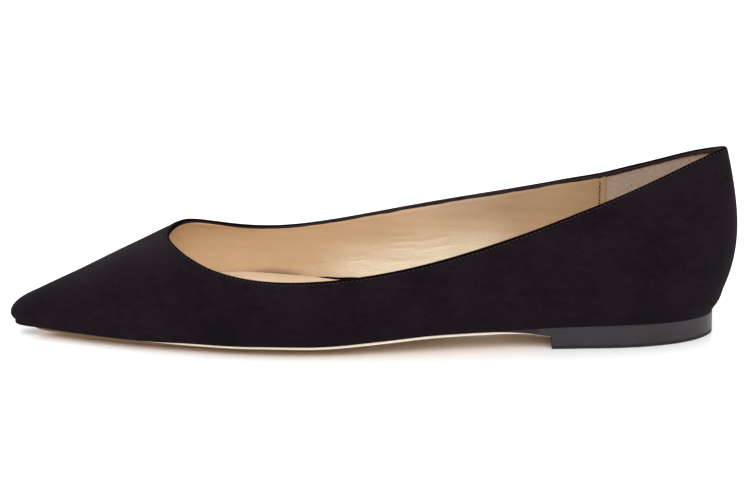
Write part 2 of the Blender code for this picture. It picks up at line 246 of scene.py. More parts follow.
LINING_CREASES = (
    Crease("insole_fold", "inner", (-46.0, 11.7), (-29.0, 10.5), 0.7, -0.28),
    Crease("waist_1", "inner", (-23.7, 14.4), (-20.7, 16.2), 0.6, -0.12),
    Crease("waist_2", "inner", (-17.7, 15.2), (-14.7, 18.8), 0.6, -0.12),
    Crease("waist_3", "inner", (-9.5, 17.4), (-2.5, 18.4), 0.6, -0.14),
    Crease("waist_4", "inner", (-8.5, 19.3), (-3.0, 20.0), 0.6, -0.12),
    Crease("waist_5", "inner", (-3.0, 22.8), (1.0, 25.4), 0.6, -0.12),
    Crease("waist_6", "inner", (5.6, 23.0), (15.4, 24.0), 0.6, -0.14),
    Crease("waist_7", "inner", (6.4, 25.4), (15.0, 26.5), 0.6, -0.14),
    Crease("waist_8", "inner", (8.0, 27.8), (14.6, 28.6), 0.6, -0.12),
    Crease("waist_9", "inner", (15.0, 22.8), (27.5, 25.4), 0.7, -0.14),
    Crease("waist_10", "inner", (16.0, 26.0), (27.0, 28.8), 0.7, -0.14),
    Crease("waist_11", "inner", (4.0, 18.0), (20.0, 19.6), 0.8, -0.14),
    Crease("arch_swell", "inner", (-12.0, 21.5), (26.0, 21.0), 3.0, 0.18),
    Crease("waist_12", "outer", (-14.0, 17.0), (6.0, 17.6), 0.8, -0.12),
    Crease("waist_13", "outer", (0.0, 20.4), (18.0, 21.4), 0.8, -0.12),
    Crease("waist_14", "outer", (14.0, 24.0), (30.0, 26.0), 0.8, -0.12),
)

# Seam of the lining over the heel grip, and where the insole stands off the lining
LINING_END = 86.4
GRIP_START = 80.0
SEAM_X = 84.0
SEAM_ZIGZAG = 0.22
SEAM_PITCH = 1.3
SEAM_FOOT = 4.0
SEAM_TOP = 0.9
SEAM_SINK = 0.10
STANDOFF_X = -13.5
STANDOFF_RUN = 8.0
STANDOFF = 2.6
STANDOFF_SLACK = 1.7
STANDOFF_SINK = 0.12
SLACK_FADE = 16.0

# Edge of the sole: height of its upright face by X, and how far the bevel under it runs in
SOLE_FACE_X = (-95.0, -80.0, -68.0, -45.0, -10.0, 10.0, 40.0, 46.0, 51.0, 57.0, 62.0)
SOLE_FACE = (0.05, 0.42, 1.05, 1.15, 1.32, 1.38, 1.30, 0.72, 0.42, 0.06, 0.01)
SOLE_BEVEL = 1.1
SOLE_BEVEL_TOE = 1.4
TOE_INSET = 0.5
TOE_BEVEL = 1.3
NARROW_BEVEL = 0.3

# Roundings of edges that the panel doesn't hold
SOLE_TOP_ROUND = 0.08
HEEL_TOP_ROUND = 0.2
HEEL_FOOT_SHARE = 0.6
TOP_PIECE_ROUND = 0.12
LOWER_ROUND = 0.3

# Rise of the outer lower edge over the bottom table, along X
Swell = namedtuple("Swell", "height middle width")
EDGE_WAVES = (
    Swell(0.22, -68, 8),
    Swell(-0.18, -49, 10),
    Swell(-0.42, -18, 13),
    Swell(0.40, 19, 12),
    Swell(-0.24, 45, 7),
)

# Stage, in metres: each softbox with the setting that holds its power, its size, place and tilt
Softbox = namedtuple("Softbox", "name power size location tilt")
SOFTBOXES = (
    Softbox("overhead_softbox", "overhead_lamp", (1.6, 2.0), (0.0, 0.1, 1.1), 0.0),
    Softbox("front_softbox", "front_lamp", (1.5, 0.6), (0.0, -0.9, 0.85), np.radians(47)),
)
FLOOR_HALF = 4.0
SENSOR_WIDTH = 36.0

UP = np.array((0.0, 0.0, 1.0))
LEVEL = np.array((1.0, 1.0, 0.0))


def turn(along):
    """Turn round the lower edge, 0 at the back of the heel and 1 at the tip of the toe."""
    return np.arccos(np.clip(1 - 2 * np.asarray(along) / BOTTOM_LENGTH, -1, 1)) / np.pi


def ring_curve(turns, rows):
    """Smooth closed curve through rows of values, round a ring of 2 turns."""
    turns = np.asarray(turns, float)
    rows = np.asarray(rows, float)
    count = len(turns)
    ends = np.append(turns, turns[0] + 2)
    spans = np.diff(ends)
    system = np.zeros((count, count))
    bends = np.zeros(rows.shape)
    for here in range(count):
        before = here - 1
        after = (here + 1) % count
        system[here, before] += spans[before]
        system[here, here] += 2 * (spans[before] + spans[here])
        system[here, after] += spans[here]
        rise = (rows[after] - rows[here]) / spans[here]
        fall = (rows[here] - rows[before]) / spans[before]
        bends[here] = 6 * (rise - fall)
    bends = np.linalg.solve(system, bends)

    def at(turns_round):
        place = np.asarray(turns_round, float) % 2
        left = np.clip(np.searchsorted(ends, place, side="right") - 1, 0, count - 1)
        right = (left + 1) % count
        span = spans[left][..., None]
        ahead = (place - ends[left])[..., None] / span
        behind = 1 - ahead
        chord = behind * rows[left] + ahead * rows[right]
        bow = (behind**3 - behind) * bends[left] + (ahead**3 - ahead) * bends[right]
        return chord + bow * span**2 / 6

    return at


def ring_x(place):
    """X of the lower edge at places round the ring."""
    return HEEL_POINT - BOTTOM_LENGTH * (1 - np.cos(np.pi * place)) / 2


def soft_step(value, start, end):
    """Share that rises smoothly from 0 at start to 1 at end."""
    share = np.clip((value - start) / (end - start), 0, 1)
    return share * share * (3 - 2 * share)


def mound(value, middle, width):
    """Soft mound of height 1 about a middle."""
    return np.exp(-(((value - middle) / width) ** 2))


def edge_wave(x):
    """Rise of the outer lower edge: it stays low at the ball and lifts sooner at the waist."""
    return sum(wave.height * mound(x, wave.middle, wave.width) for wave in EDGE_WAVES)


def unit(vectors):
    """Vectors brought to length 1."""
    return vectors / np.linalg.norm(vectors, axis=-1, keepdims=True)


def bottom_ring():
    """Curve of (Y, Z) of the lower edge round the ring: outer side forward, inner side back."""
    outer = [(turn(row.along), -row.lateral, row.lateral_rise) for row in LAST_BOTTOM]
    inner = [(2 - turn(row.along), row.medial, row.medial_rise) for row in LAST_BOTTOM[-2:0:-1]]
    table = np.array(outer + inner)
    curve = ring_curve(table[:, 0], table[:, 1:])

    def at(place):
        row = curve(place)
        place = np.asarray(place, float) % 2
        row[..., 1] += edge_wave(ring_x(place)) * (place < 1)
        return row

    return at


def rib_ring():
    """Curve of the rib table round the ring."""
    turns = [turn(rib.along) for rib in RIBS_OUTER] + [2 - turn(rib.along) for rib in RIBS_INNER]
    return ring_curve(turns, [rib[2:] for rib in RIBS_OUTER + RIBS_INNER])


bottom_at = bottom_ring()
rib_at = rib_ring()


def lower_edge(place):
    """Points of the upper's lower edge at places round the ring."""
    place = np.asarray(place, float) % 2
    return np.concatenate([ring_x(place)[..., None], bottom_at(place)], axis=-1)


def outward(place):
    """Level direction that points out of the lower edge."""
    along = lower_edge(place + PROBE) - lower_edge(place - PROBE)
    side = np.stack([-along[..., 1], along[..., 0], np.zeros(along.shape[:-1])], axis=-1)
    return unit(side)


def topline_move(x, y):
    """Small moves of the topline: rises and dips, and the outer side's lean at the heel."""
    outer = 0.3 * soft_step(x, 55, 75) + 0.49 * mound(x, 117, 18) + 0.35 * mound(x, -66, 5)
    inner = 0.65 * mound(x, 117, 11) - 0.4 * mound(x, 84, 8)
    lift = inner + (outer - inner) * soft_step(-y, -8, 10)
    lift = lift * (1 - 0.6 * mound(y, 0, 6) * soft_step(x, 100, 120))
    lean = 1.6 * mound(x, 117, 18) * soft_step(-y, 0, 10)
    return np.stack([np.zeros_like(lift), lean, lift], axis=-1)


def wall(place, climb):
    """Outer face of the upper: climb runs from 0 at the lower edge to 1 at the collar."""
    place, climb = np.broadcast_arrays(np.asarray(place, float), np.asarray(climb, float))
    foot = lower_edge(place)
    out = outward(place)
    row = rib_at(place)
    collar = row[..., 0:3] + topline_move(row[..., 0], row[..., 1])
    low = foot + out * row[..., 3:4] + UP * row[..., 4:5]
    run = (foot - collar) * LEVEL * RUN_SHARE
    high = collar + run + out * row[..., 5:6] - UP * row[..., 6:7]
    up = climb[..., None]
    down = 1 - up
    return down**3 * foot + 3 * down**2 * up * low + 3 * down * up**2 * high + up**3 * collar


def wall_normal(place, climb):
    """Direction out of the upper's outer face."""
    low = np.maximum(climb - PROBE, 0)
    high = np.minimum(climb + PROBE, 1)
    round_ring = wall(place + PROBE, climb) - wall(place - PROBE, climb)
    rising = wall(place, high) - wall(place, low)
    return unit(np.cross(rising, round_ring))


def under_face(place, climb, depth):
    """Points at a depth under the outer face of the upper."""
    depth = np.asarray(depth, float)
    return wall(place, climb) - depth[..., None] * wall_normal(place, climb)


def middle_line(x):
    """Y of the line down the middle of the bottom."""
    place = turn(HEEL_POINT - x)
    return (bottom_at(place)[..., 0] + bottom_at(2 - place)[..., 0]) / 2


def bed_height(x, y):
    """Height of the lasted underside: a shallow arc that sags between its two edges."""
    place = turn(HEEL_POINT - x)
    outer = bottom_at(place)
    inner = bottom_at(2 - place)
    middle = (outer[..., 0] + inner[..., 0]) / 2
    half = np.maximum((inner[..., 0] - outer[..., 0]) / 2, GAP)
    across = np.clip((y - middle) / half, -1, 1)
    edge = (outer[..., 1] + inner[..., 1]) / 2 + across * (inner[..., 1] - outer[..., 1]) / 2
    return edge - BED_SAG * half**2 * (1 - across**2)


def inward(place, reach):
    """Points that lie reach inside the lower edge, towards a spine down the middle."""
    foot = lower_edge(place)
    toe_end = HEEL_POINT - BOTTOM_LENGTH + SPINE_FROM_TOE
    x = np.clip(foot[..., 0], toe_end, HEEL_POINT - SPINE_FROM_HEEL)
    to_spine = np.stack([x, middle_line(x), foot[..., 2]], axis=-1) - foot
    distance = np.linalg.norm(to_spine, axis=-1)
    share = np.minimum(reach / distance, LASTING_REACH * reach / LASTING_MARGIN)
    point = foot + to_spine * share[..., None]
    point[..., 2] = bed_height(point[..., 0], point[..., 1])
    return point


def climb_at_height(place, height):
    """Climb at which the inner face of the wall stands at a height, for each place."""
    climbs = np.linspace(0, SEARCH_CLIMB, SEARCH_STEPS + 1)
    heights = under_face(place[:, None], climbs[None, :], WALL)[..., 2]
    return np.array([np.interp(level, row, climbs) for level, row in zip(height, heights)])


def rib_lengths(place):
    """Lengths along each rib from the lower edge, at the rib samples."""
    points = wall(place[:, None], RIB_SAMPLES[None, :])
    steps = np.linalg.norm(np.diff(points, axis=1), axis=-1)
    return np.concatenate([np.zeros((len(place), 1)), np.cumsum(steps, axis=1)], axis=1)


def climb_at_length(lengths, reach):
    """Climbs at lengths along the ribs, one row of lengths to each rib."""
    return np.array([np.interp(want, row, RIB_SAMPLES) for want, row in zip(reach, lengths)])


def length_at_climb(lengths, climbs):
    """Lengths along the ribs at climbs, one row of climbs to each rib."""
    return np.array([np.interp(want, RIB_SAMPLES, row) for want, row in zip(climbs, lengths)])


def by_station(column, x):
    """Value of a column of the bottom table at X."""
    along = [row.along for row in LAST_BOTTOM]
    values = [getattr(row, column) for row in LAST_BOTTOM]
    return np.interp(HEEL_POINT - x, along, values)


def inset_edge(place, inset):
    """Points inside the lower edge by an inset that may change round the ring."""
    return lower_edge(place) - outward(place) * np.asarray(inset)[..., None]


def wing_depth(x):
    """Room that the heel's wing takes above the outsole, with its gap."""
    share = np.clip((x - WING_TIP) / (BREAST_TOP - WING_TIP), 0, None)
    return WING_THICK * share**WING_CURVE + WING_GAP * soft_step(x, WING_TIP - 6, WING_END)


def set_back(edge):
    """Edge of the outsole drawn back from the tip of the toe, more and more towards it."""
    toe_tip = HEEL_POINT - BOTTOM_LENGTH
    share = np.clip((SETBACK_FROM - edge[:, 0]) / (SETBACK_FROM - toe_tip), 0, 1)
    edge[:, 0] += SOLE_SETBACK * share**2
    return edge


def heel_edge(place, depth):
    """Edge of the heel at a depth under the seat: its sides slope in, its back is upright."""
    out = outward(place)
    sides = (HEEL_INSET + HEEL_SPLAY * depth) * np.abs(out[:, 1])
    back = HEEL_BACK * np.maximum(out[:, 0], 0) ** 2
    return inset_edge(place, sides - back)


def root_shift():
    """Move in X and Y from the last to the frame, whose origin is the middle of the upper's box."""
    places = np.arange(FRAME_RING_STEPS) * 2 / FRAME_RING_STEPS
    climbs = np.linspace(0, 1, FRAME_RIB_STEPS + 1)
    points = wall(places[:, None], climbs[None, :]).reshape(-1, 3)
    low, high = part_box("upper")
    middle = (np.array(low) + np.array(high)) / 2 / MM
    return (middle - (points.min(axis=0) + points.max(axis=0)) / 2) * LEVEL


SHIFT = root_shift()


def crease_height(points, creases):
    """Height of the listed creases at points of a side of the shoe."""
    height = np.zeros(points.shape[:-1])
    flat = points[..., [0, 2]]
    offside = points[..., 1] - middle_line(points[..., 0])
    for crease in creases:
        start = np.array(crease.start)
        run = np.array(crease.end) - start
        share = np.clip((flat - start) @ run / (run @ run), 0, 1)
        away = np.linalg.norm(flat - start - share[..., None] * run, axis=-1)
        toward = -offside if crease.side == "outer" else offside
        height += crease.height * mound(away, 0, crease.width) * soft_step(toward, 0, 8)
    return height


def arc(start, pull, end, steps):
    """Points of a soft arc from start to end, pulled towards a point, for each row."""
    share = np.linspace(0, 1, steps)[None, :, None]
    back = 1 - share
    return back**2 * start[:, None] + 2 * share * back * pull[:, None] + share**2 * end[:, None]


def corner(before, at, after, radius):
    """Points of a rounded corner between two straight runs, for each row."""
    arms = []
    for end in (before, after):
        arm = end - at
        reach = np.linalg.norm(arm, axis=-1, keepdims=True)
        arms.append(at + arm * np.minimum(radius / np.maximum(reach, TINY), LONGEST_ARM))
    return arc(arms[0], at, arms[1], CORNER_STEPS)


def sweep_faces(count, corners, closed):
    """Faces of closed outlines joined one to the next, with end caps unless they close a ring."""
    rows = count if closed else count - 1
    row = np.arange(rows)[:, None]
    here = np.arange(corners)[None, :]
    after = (here + 1) % corners
    following = (row + 1) % count
    quads = np.stack(
        [
            row * corners + here,
            row * corners + after,
            following * corners + after,
            following * corners + here,
        ],
        axis=-1,
    )
    faces = quads.reshape(-1, 4).tolist()
    if not closed:
        faces.append(list(range(corners))[::-1])
        faces.append(list(range((count - 1) * corners, count * corners)))
    return faces


def make_piece(name, points, faces, material, node=None):
    """Piece of a closed mesh given in millimetres on the last, riding on the shoe."""
    old = bpy.data.objects.get(name)
    if old is not None:
        bpy.data.objects.remove(old, do_unlink=True)
    mesh = bpy.data.meshes.new(name)
    mesh.from_pydata(((points.reshape(-1, 3) + SHIFT) * MM).tolist(), [], faces)
    mesh.update()
    mesh.shade_smooth()
    mesh.set_sharp_from_angle(angle=np.radians(SHARP_DEGREES))
    mesh.materials.append(material)
    piece = bpy.data.objects.new(name, mesh)
    bpy.context.scene.collection.objects.link(piece)
    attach(piece, "root")
    if node is not None:
        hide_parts(node)
    return piece


def sweep_piece(name, sections, closed, material, node=None):
    """Piece swept through closed outlines."""
    faces = sweep_faces(sections.shape[0], sections.shape[1], closed)
    return make_piece(name, sections, faces, material, node)


def edge_shares(columns, border, width):
    """Shares across each row, with a column close to either edge for its rounding."""
    close = np.minimum(border / np.maximum(width, TINY), WIDEST_BORDER)[:, None]
    middle = np.linspace(0, 1, columns)[None, :]
    inside = close + (1 - 2 * close) * middle
    ends = np.ones((len(width), 1))
    return np.concatenate([0 * ends, inside, ends], axis=1)


def edge_span(edges):
    """Distance from the outer to the inner edge, for each row."""
    return np.linalg.norm(edges[1] - edges[0], axis=-1)


def across(edges, shares):
    """Grid of rows from points of the outer edge to points of the inner edge."""
    shares = shares[..., None]
    return edges[0][:, None] * (1 - shares) + edges[1][:, None] * shares


def belly(shares):
    """Share of the middle thickness across a row: 0 at both edges, 1 at the middle."""
    return 1 - (2 * shares - 1) ** 2


def plate_outlines(top, underside, round_top, round_underside, waist=None):
    """Closed outlines of a plate with rounded edges, from grids of its top and its underside.

    waist gives points of the outer and inner edge between the two, where a bevel starts.
    """
    outer = [top[:, 1], top[:, 0], underside[:, 0], underside[:, 1]]
    inner = [top[:, -2], top[:, -1], underside[:, -1], underside[:, -2]]
    radii = [round_top, round_underside]
    if waist is not None:
        outer.insert(2, waist[0])
        inner.insert(2, waist[1])
        radii.insert(1, round_underside)
    parts = [top[:, 1:-1]]
    for step, radius in enumerate(radii):
        parts.append(corner(inner[step], inner[step + 1], inner[step + 2], radius))
    parts.append(underside[:, -2:0:-1])
    for step in range(len(radii) - 1, -1, -1):
        parts.append(corner(outer[step + 2], outer[step + 1], outer[step], radii[step]))
    return np.concatenate(parts, axis=1)


def suede_relief(points, facing_up, rise, drop, groove_at):
    """Height of the suede over the last: rolled edge, stitch groove, feather ridge and creases."""
    x = points[..., 0]
    y = points[..., 1]
    z = points[..., 2]
    bead = 0.06 * np.sin(np.pi * np.clip(drop / groove_at, 0, 1))
    groove = -0.14 * mound(drop, groove_at, 0.28)
    throat = soft_step(-x, 30, 66)
    shoulder = (0.05 + 0.16 * throat) * mound(drop, groove_at + 1.3, 0.6)
    forward = soft_step(-x, 40, 110)
    feather = (0.08 + 0.14 * forward) * mound(rise, 1.9, 0.7) * soft_step(rise, 0.5, 1.2)
    nose = -0.45 * mound(rise, 1.7, 0.35) * soft_step(-x, 126, 130.5)
    nose += 0.45 * soft_step(rise, 2.2, 4.5) * soft_step(-x, 123, 131)
    waves = 0.06 * np.sin(x / 7.3 + z / 9.1 + 1.3) * np.sin(y / 11.0 + 0.4)
    waves += 0.05 * np.sin(x / 4.1 - z / 6.3 + y / 8.7)
    waves += 0.05 * np.sin(x / 12.7 + 0.8) * np.sin(z / 8.3 + y / 15.0)
    quiet = soft_step(rise, 2, 6) * soft_step(drop, 3, 7)
    crown = 0.75 * mound(x, -96, 11) * np.clip(facing_up, 0, 1) * soft_step(rise, 4, 10)
    counter = 0.55 * mound(rise, 5.2, 3.2) * soft_step(x, 116, 124)
    edges = bead + groove + shoulder + feather + nose + crown + counter
    return edges + quiet * (waves + crease_height(points, SUEDE_CREASES))


def feather_move(points, rise):
    """Move of the suede low on the wall: it hangs over the sole, most at the tip of the toe."""
    at_tip = soft_step(-points[..., 0], 122, 131)
    low = 1 - soft_step(rise, 0.5, 1.6)
    move = at_tip[..., None] * np.array(TOE_LIP) - FEATHER_DROP * UP
    return low[..., None] * move


def suede_face(place, climb, lengths, groove_at):
    """Outer face of the suede with its relief."""
    rise = length_at_climb(lengths, climb)
    drop = lengths[:, -1:] - rise
    points = wall(place[:, None], climb)
    normals = wall_normal(place[:, None], climb)
    height = suede_relief(points, normals[..., 2], rise, drop, groove_at)
    return points + height[..., None] * normals + feather_move(points, rise)


def upper_outlines(settings):
    """Closed outlines of the suede, from the lasting margin over the topline to the margin again."""
    place = np.arange(RING_STEPS) * 2 / RING_STEPS
    lengths = rib_lengths(place)
    total = lengths[:, -1:]
    low = np.broadcast_to(np.array(FOOT_RISES), (RING_STEPS, len(FOOT_RISES)))
    rim = wall(place, 1.0)
    collar_x = rim[:, 0]
    at_back = soft_step(collar_x, 100, 126)[:, None]
    roll_height = settings.topline_roll / MM + ROLL_AT_BACK * at_back
    high = total - roll_height - np.array(TOP_DROPS)[None, :]
    shares = np.linspace(0, 1, MIDDLE_ROWS + 2)[None, 1:-1]
    middle = low[:, -1:] + (high[:, :1] - low[:, -1:]) * shares
    climbs = climb_at_length(lengths, np.concatenate([low, middle, high], axis=1))
    outer = suede_face(place, climbs, lengths, settings.stitch_inset / MM)

    foot = lower_edge(place)
    move = feather_move(foot, np.zeros(RING_STEPS))
    tuck = inward(place, FEATHER_TUCK) + move * FEATHER_TUCK_SHARE
    bend_climb = climb_at_length(lengths, np.full((RING_STEPS, 1), FEATHER_BEND))[:, 0]
    bend = arc(tuck, foot + move, wall(place, bend_climb) + move, BEND_ROWS)

    collar = outer[:, -1]
    at_throat = soft_step(-collar_x, 50, 68)
    far_curve = FAR_THROAT_CURVE * mound(collar_x, -71.8, 3.6) * soft_step(rim[:, 1], -2, 6)
    at_front = far_curve - THINNER_AT_THROAT * at_throat
    over = settings.topline_thickness / MM * (1 + at_front[:, None] + THICKER_AT_BACK * at_back)
    inside = under_face(place[:, None], climbs[:, -1:], over)[:, 0]
    rising = unit(rim - wall(place, NEAR_COLLAR))
    angle = np.linspace(0, np.pi, ROLL_ROWS + 2)[None, 1:-1, None]
    centre = (collar + inside) / 2
    roll = centre[:, None] + np.cos(angle) * (collar - centre)[:, None]
    roll = roll + np.sin(angle) * roll_height[:, None] * rising[:, None]

    ragged = 0.08 * np.sin(place * 211.0) * np.sin(place * 83.0 + 1.0) + 0.05 * np.sin(place * 397.0)
    turned = settings.turned_edge / MM * np.interp(collar_x, TURNED_X, TURNED_EDGE)
    turned = np.maximum(turned + ragged * (1 - at_throat), LEAST_TURNED)[:, None]
    shares = np.linspace(0, 1, TURNED_ROWS)[None, :]
    turned_climbs = climb_at_length(lengths, total - (roll_height + turned * shares))
    face = under_face(place[:, None], turned_climbs, over - TURNED_THINNING * shares**4)

    start = climb_at_height(place, foot[:, 2] + WALL)
    shares = np.linspace(0, 1, SUEDE_BACK_ROWS)
    back_climbs = turned_climbs[:, -1:] + (start - turned_climbs[:, -1])[:, None] * shares
    back = under_face(place[:, None], back_climbs, SUEDE_THICKNESS)
    margin = inward(place, LASTING_MARGIN)[:, None]
    half_margin = inward(place, LASTING_MARGIN / 2)[:, None]
    top_of_margin = margin + UP * SUEDE_THICKNESS
    return np.concatenate([margin, half_margin, bend, outer, roll, face, back, top_of_margin], axis=1)


def foot_lift(x, inner):
    """Lift of the lining's foot where the insole stands off it, and how far it ends there."""
    ended = soft_step(x, -30, -24) * (1 - soft_step(x, 0, 6)) * inner
    opened = 0.68 * soft_step(x, -23.5, -16) * (1 - soft_step(x, -10, 0))
    sunk = 0.05 + 0.57 * mound(x, STANDOFF_X, STANDOFF_RUN)
    return ended * (by_station("insole", x) + INSOLE_CUP + opened - sunk), ended


def lining_outlines(place, face_depth, creases, rows):
    """Closed outlines of a layer of lining between its back and a face depth along the places."""
    lengths = rib_lengths(place)
    collar_x = wall(place, 1.0)[:, 0]
    top_drop = np.interp(collar_x, LINING_TOP_X, LINING_TOP)[:, None]
    top = climb_at_length(lengths, lengths[:, -1:] - top_drop)
    foot = lower_edge(place)
    lift, ended = foot_lift(foot[:, 0], place > 1)
    start = climb_at_height(place, foot[:, 2] + WALL + LINING_FOOT_GAP + lift)[:, None]
    shares = np.linspace(0, 1, rows)[None, :]
    face_climbs = top + (start - top) * shares
    flat = under_face(place[:, None], face_climbs, LINING_FACE)
    rise = length_at_climb(lengths, face_climbs)
    band = 0.5 + np.interp(collar_x, TURNED_X, TURNED_EDGE)[:, None]
    swell = 0.08 * mound(lengths[:, -1:] - rise - band, 0.6, 0.45)
    slack = STANDOFF_SLACK * mound(foot[:, :1], STANDOFF_X, STANDOFF_RUN) * (place > 1)[:, None]
    slack = slack * (1 - soft_step(flat[..., 2] - flat[:, -1:, 2], 0, SLACK_FADE))
    depth = face_depth(foot[:, :1], flat) + crease_height(flat, creases) + swell + slack
    face = under_face(place[:, None], face_climbs, depth)
    back_climbs = start + (top - start) * np.linspace(0, 1, LINING_BACK_ROWS)[None, :]
    back = under_face(place[:, None], back_climbs, LINING_BACK)
    tongue = inward(place, TONGUE)
    over = tongue + UP * (WALL + TONGUE_OVER)
    below = tongue + UP * SUEDE_THICKNESS
    span = back[:, 0] - face[:, -1]
    over = over + (face[:, -1] + span / 3 - over) * ended[:, None]
    below = below + (face[:, -1] + span * 2 / 3 - below) * ended[:, None]
    return np.concatenate([back, face, over[:, None], below[:, None]], axis=1)


def lining_depth(foot_x, points):
    """Depth of the lining's face: it thins at its end and dips under the seam's stitches."""
    end = 0.22 * soft_step(foot_x, LINING_END - 0.7, LINING_END)
    dip = 0.16 * mound(foot_x, SEAM_X, 0.7)
    x = points[..., 0]
    z = points[..., 2]
    ripple = 0.035 * np.sin(z / 0.9 + 0.6 * np.sin(x / 9.0)) * np.sin(x / 13.0 + z / 4.0)
    return LINING_FACE - end - dip + ripple


def crumple_sheen_share(points):
    """How crumpled the lining's leather is, which also sets how much painted sheen pales it: most at
    the waist, low on the wall.
    """
    x = points[:, 0]
    z = points[:, 2]
    along = soft_step(x, -34, 3) * (1 - soft_step(x, 34, 62))
    fade = 26 + 0.2 * (x + 9)
    return along * (1 - soft_step(z, fade - 14, fade + 3))


def lining_shade_share(points):
    """How far painted shade darkens the lining: more towards the heel, less at the waist, and as a
    painted contact shadow above the insole's edge on the inner side at the ball.
    """
    x, y, z = points.T
    along = 0.286 * soft_step(x, -74, -58) + 0.714 * soft_step(x, -55, 30) - 0.25 * soft_step(x, 50, 72)
    low_at_ball = mound(z + 0.075 * (x + 36), 12.2, 1.3)
    # Painted contact shadow on the inner side, just above the insole's edge at the ball.
    ball_contact_shadow = 0.8 * mound(x, -37, 8) * low_at_ball * (y > 0)
    waist = soft_step(x, 5, 25) * (1 - soft_step(x, 60, 70))
    # Less painted shade at the waist, low on the wall.
    pale = 0.15 * mound(x, 9, 17) + 0.2 * waist * (1 - soft_step(z, 29, 42))
    return np.clip(along + ball_contact_shadow - pale, 0, 1)


def grip_depth(foot_x, points):
    """Depth of the heel grip's face."""
    return np.broadcast_to(GRIP_FACE, points.shape[:-1])


def stitch_mesh(starts, ends, normals, radius):
    """Points and faces of a row of stitches, each a short bow of thread on the surface."""
    shares = np.array((0.03, 0.16, 0.38, 0.62, 0.84, 0.97))
    fatness = np.array((0.45, 0.85, 1.0, 1.0, 0.85, 0.45))
    sink = np.array((-0.9, -0.2, 0.15, 0.15, -0.2, -0.9))
    angles = np.arange(THREAD_SIDES)[:, None] * 2 * np.pi / THREAD_SIDES
    run = ends - starts
    side = unit(np.cross(normals, run))
    line = starts[:, None] + run[:, None] * shares[None, :, None]
    line = line + normals[:, None] * (sink * radius)[None, :, None]
    ring = np.cos(angles) * normals[:, None, None] + np.sin(angles) * side[:, None, None]
    points = line[:, :, None] + ring * (fatness * radius)[None, :, None, None]
    spokes = range(THREAD_SIDES)
    faces = []
    for stitch in range(len(starts)):
        first = stitch * len(shares) * THREAD_SIDES
        last = first + (len(shares) - 1) * THREAD_SIDES
        for low in range(first, last, THREAD_SIDES):
            high = low + THREAD_SIDES
            for spoke in spokes:
                after = (spoke + 1) % THREAD_SIDES
                faces.append((low + after, low + spoke, high + spoke, high + after))
        faces.append(tuple(first + spoke for spoke in spokes))
        faces.append(tuple(last + spoke for spoke in reversed(spokes)))
    return points.reshape(-1, 3), faces


def round_ring_at(turns, place, rows):
    """Rows of vectors that are known at places round the ring, at other turns."""
    columns = [np.interp(turns, place, rows[:, axis], period=2) for axis in range(3)]
    return np.stack(columns, axis=-1)


def topline_stitches(settings):
    """Ends and normals of the stitches in the groove under the topline."""
    place = np.arange(STITCH_SAMPLES) * 2 / STITCH_SAMPLES
    lengths = rib_lengths(place)
    inset = settings.stitch_inset / MM
    climb = climb_at_length(lengths, lengths[:, -1:] - inset)
    points = suede_face(place, climb, lengths, inset)[:, 0]
    normals = wall_normal(place, climb[:, 0])
    closing = np.concatenate([points, points[:1]])
    reach = np.concatenate([[0], np.cumsum(np.linalg.norm(np.diff(closing, axis=0), axis=-1))])
    count = int(round(reach[-1] / (settings.stitch_pitch / MM)))
    pitch = reach[-1] / count
    begin = np.arange(count) * pitch
    finish = begin + settings.stitch_length / MM
    placed = []
    for at in (begin, finish, (begin + finish) / 2):
        turns = np.interp(at % reach[-1], reach, np.append(place, 2.0))
        placed.append(turns % 2)
    facing = unit(round_ring_at(placed[2], place, normals))
    lift = facing * settings.thread_width / MM * THREAD_PROUD
    starts, ends = (round_ring_at(turns, place, points) + lift for turns in placed[:2])
    return starts, ends, facing


def seam_stitches(side):
    """Ends and normals of the zigzag through the lining's end, on one side of the heel."""
    left = turn(HEEL_POINT - SEAM_X - SEAM_ZIGZAG)
    right = turn(HEEL_POINT - SEAM_X + SEAM_ZIGZAG)
    both = np.array((left, right))
    if side == "inner":
        both = 2 - both
    lengths = rib_lengths(both)
    start = climb_at_height(both, lower_edge(both)[:, 2] + WALL + SEAM_FOOT)
    foot = length_at_climb(lengths, start)
    span = float((lengths[:, -1] - foot).min()) - SEAM_TOP
    count = int(span / SEAM_PITCH)
    reach = foot[:, None] + np.arange(count)[None, :] * SEAM_PITCH
    climbs = climb_at_length(lengths, reach)
    points = under_face(both[:, None], climbs, LINING_FACE - SEAM_SINK)
    facing = -wall_normal(both[:, None], climbs)
    order = np.arange(count) % 2
    line = points[order, np.arange(count)]
    normals = facing[order, np.arange(count)]
    return line[:-1], line[1:], normals[:-1]


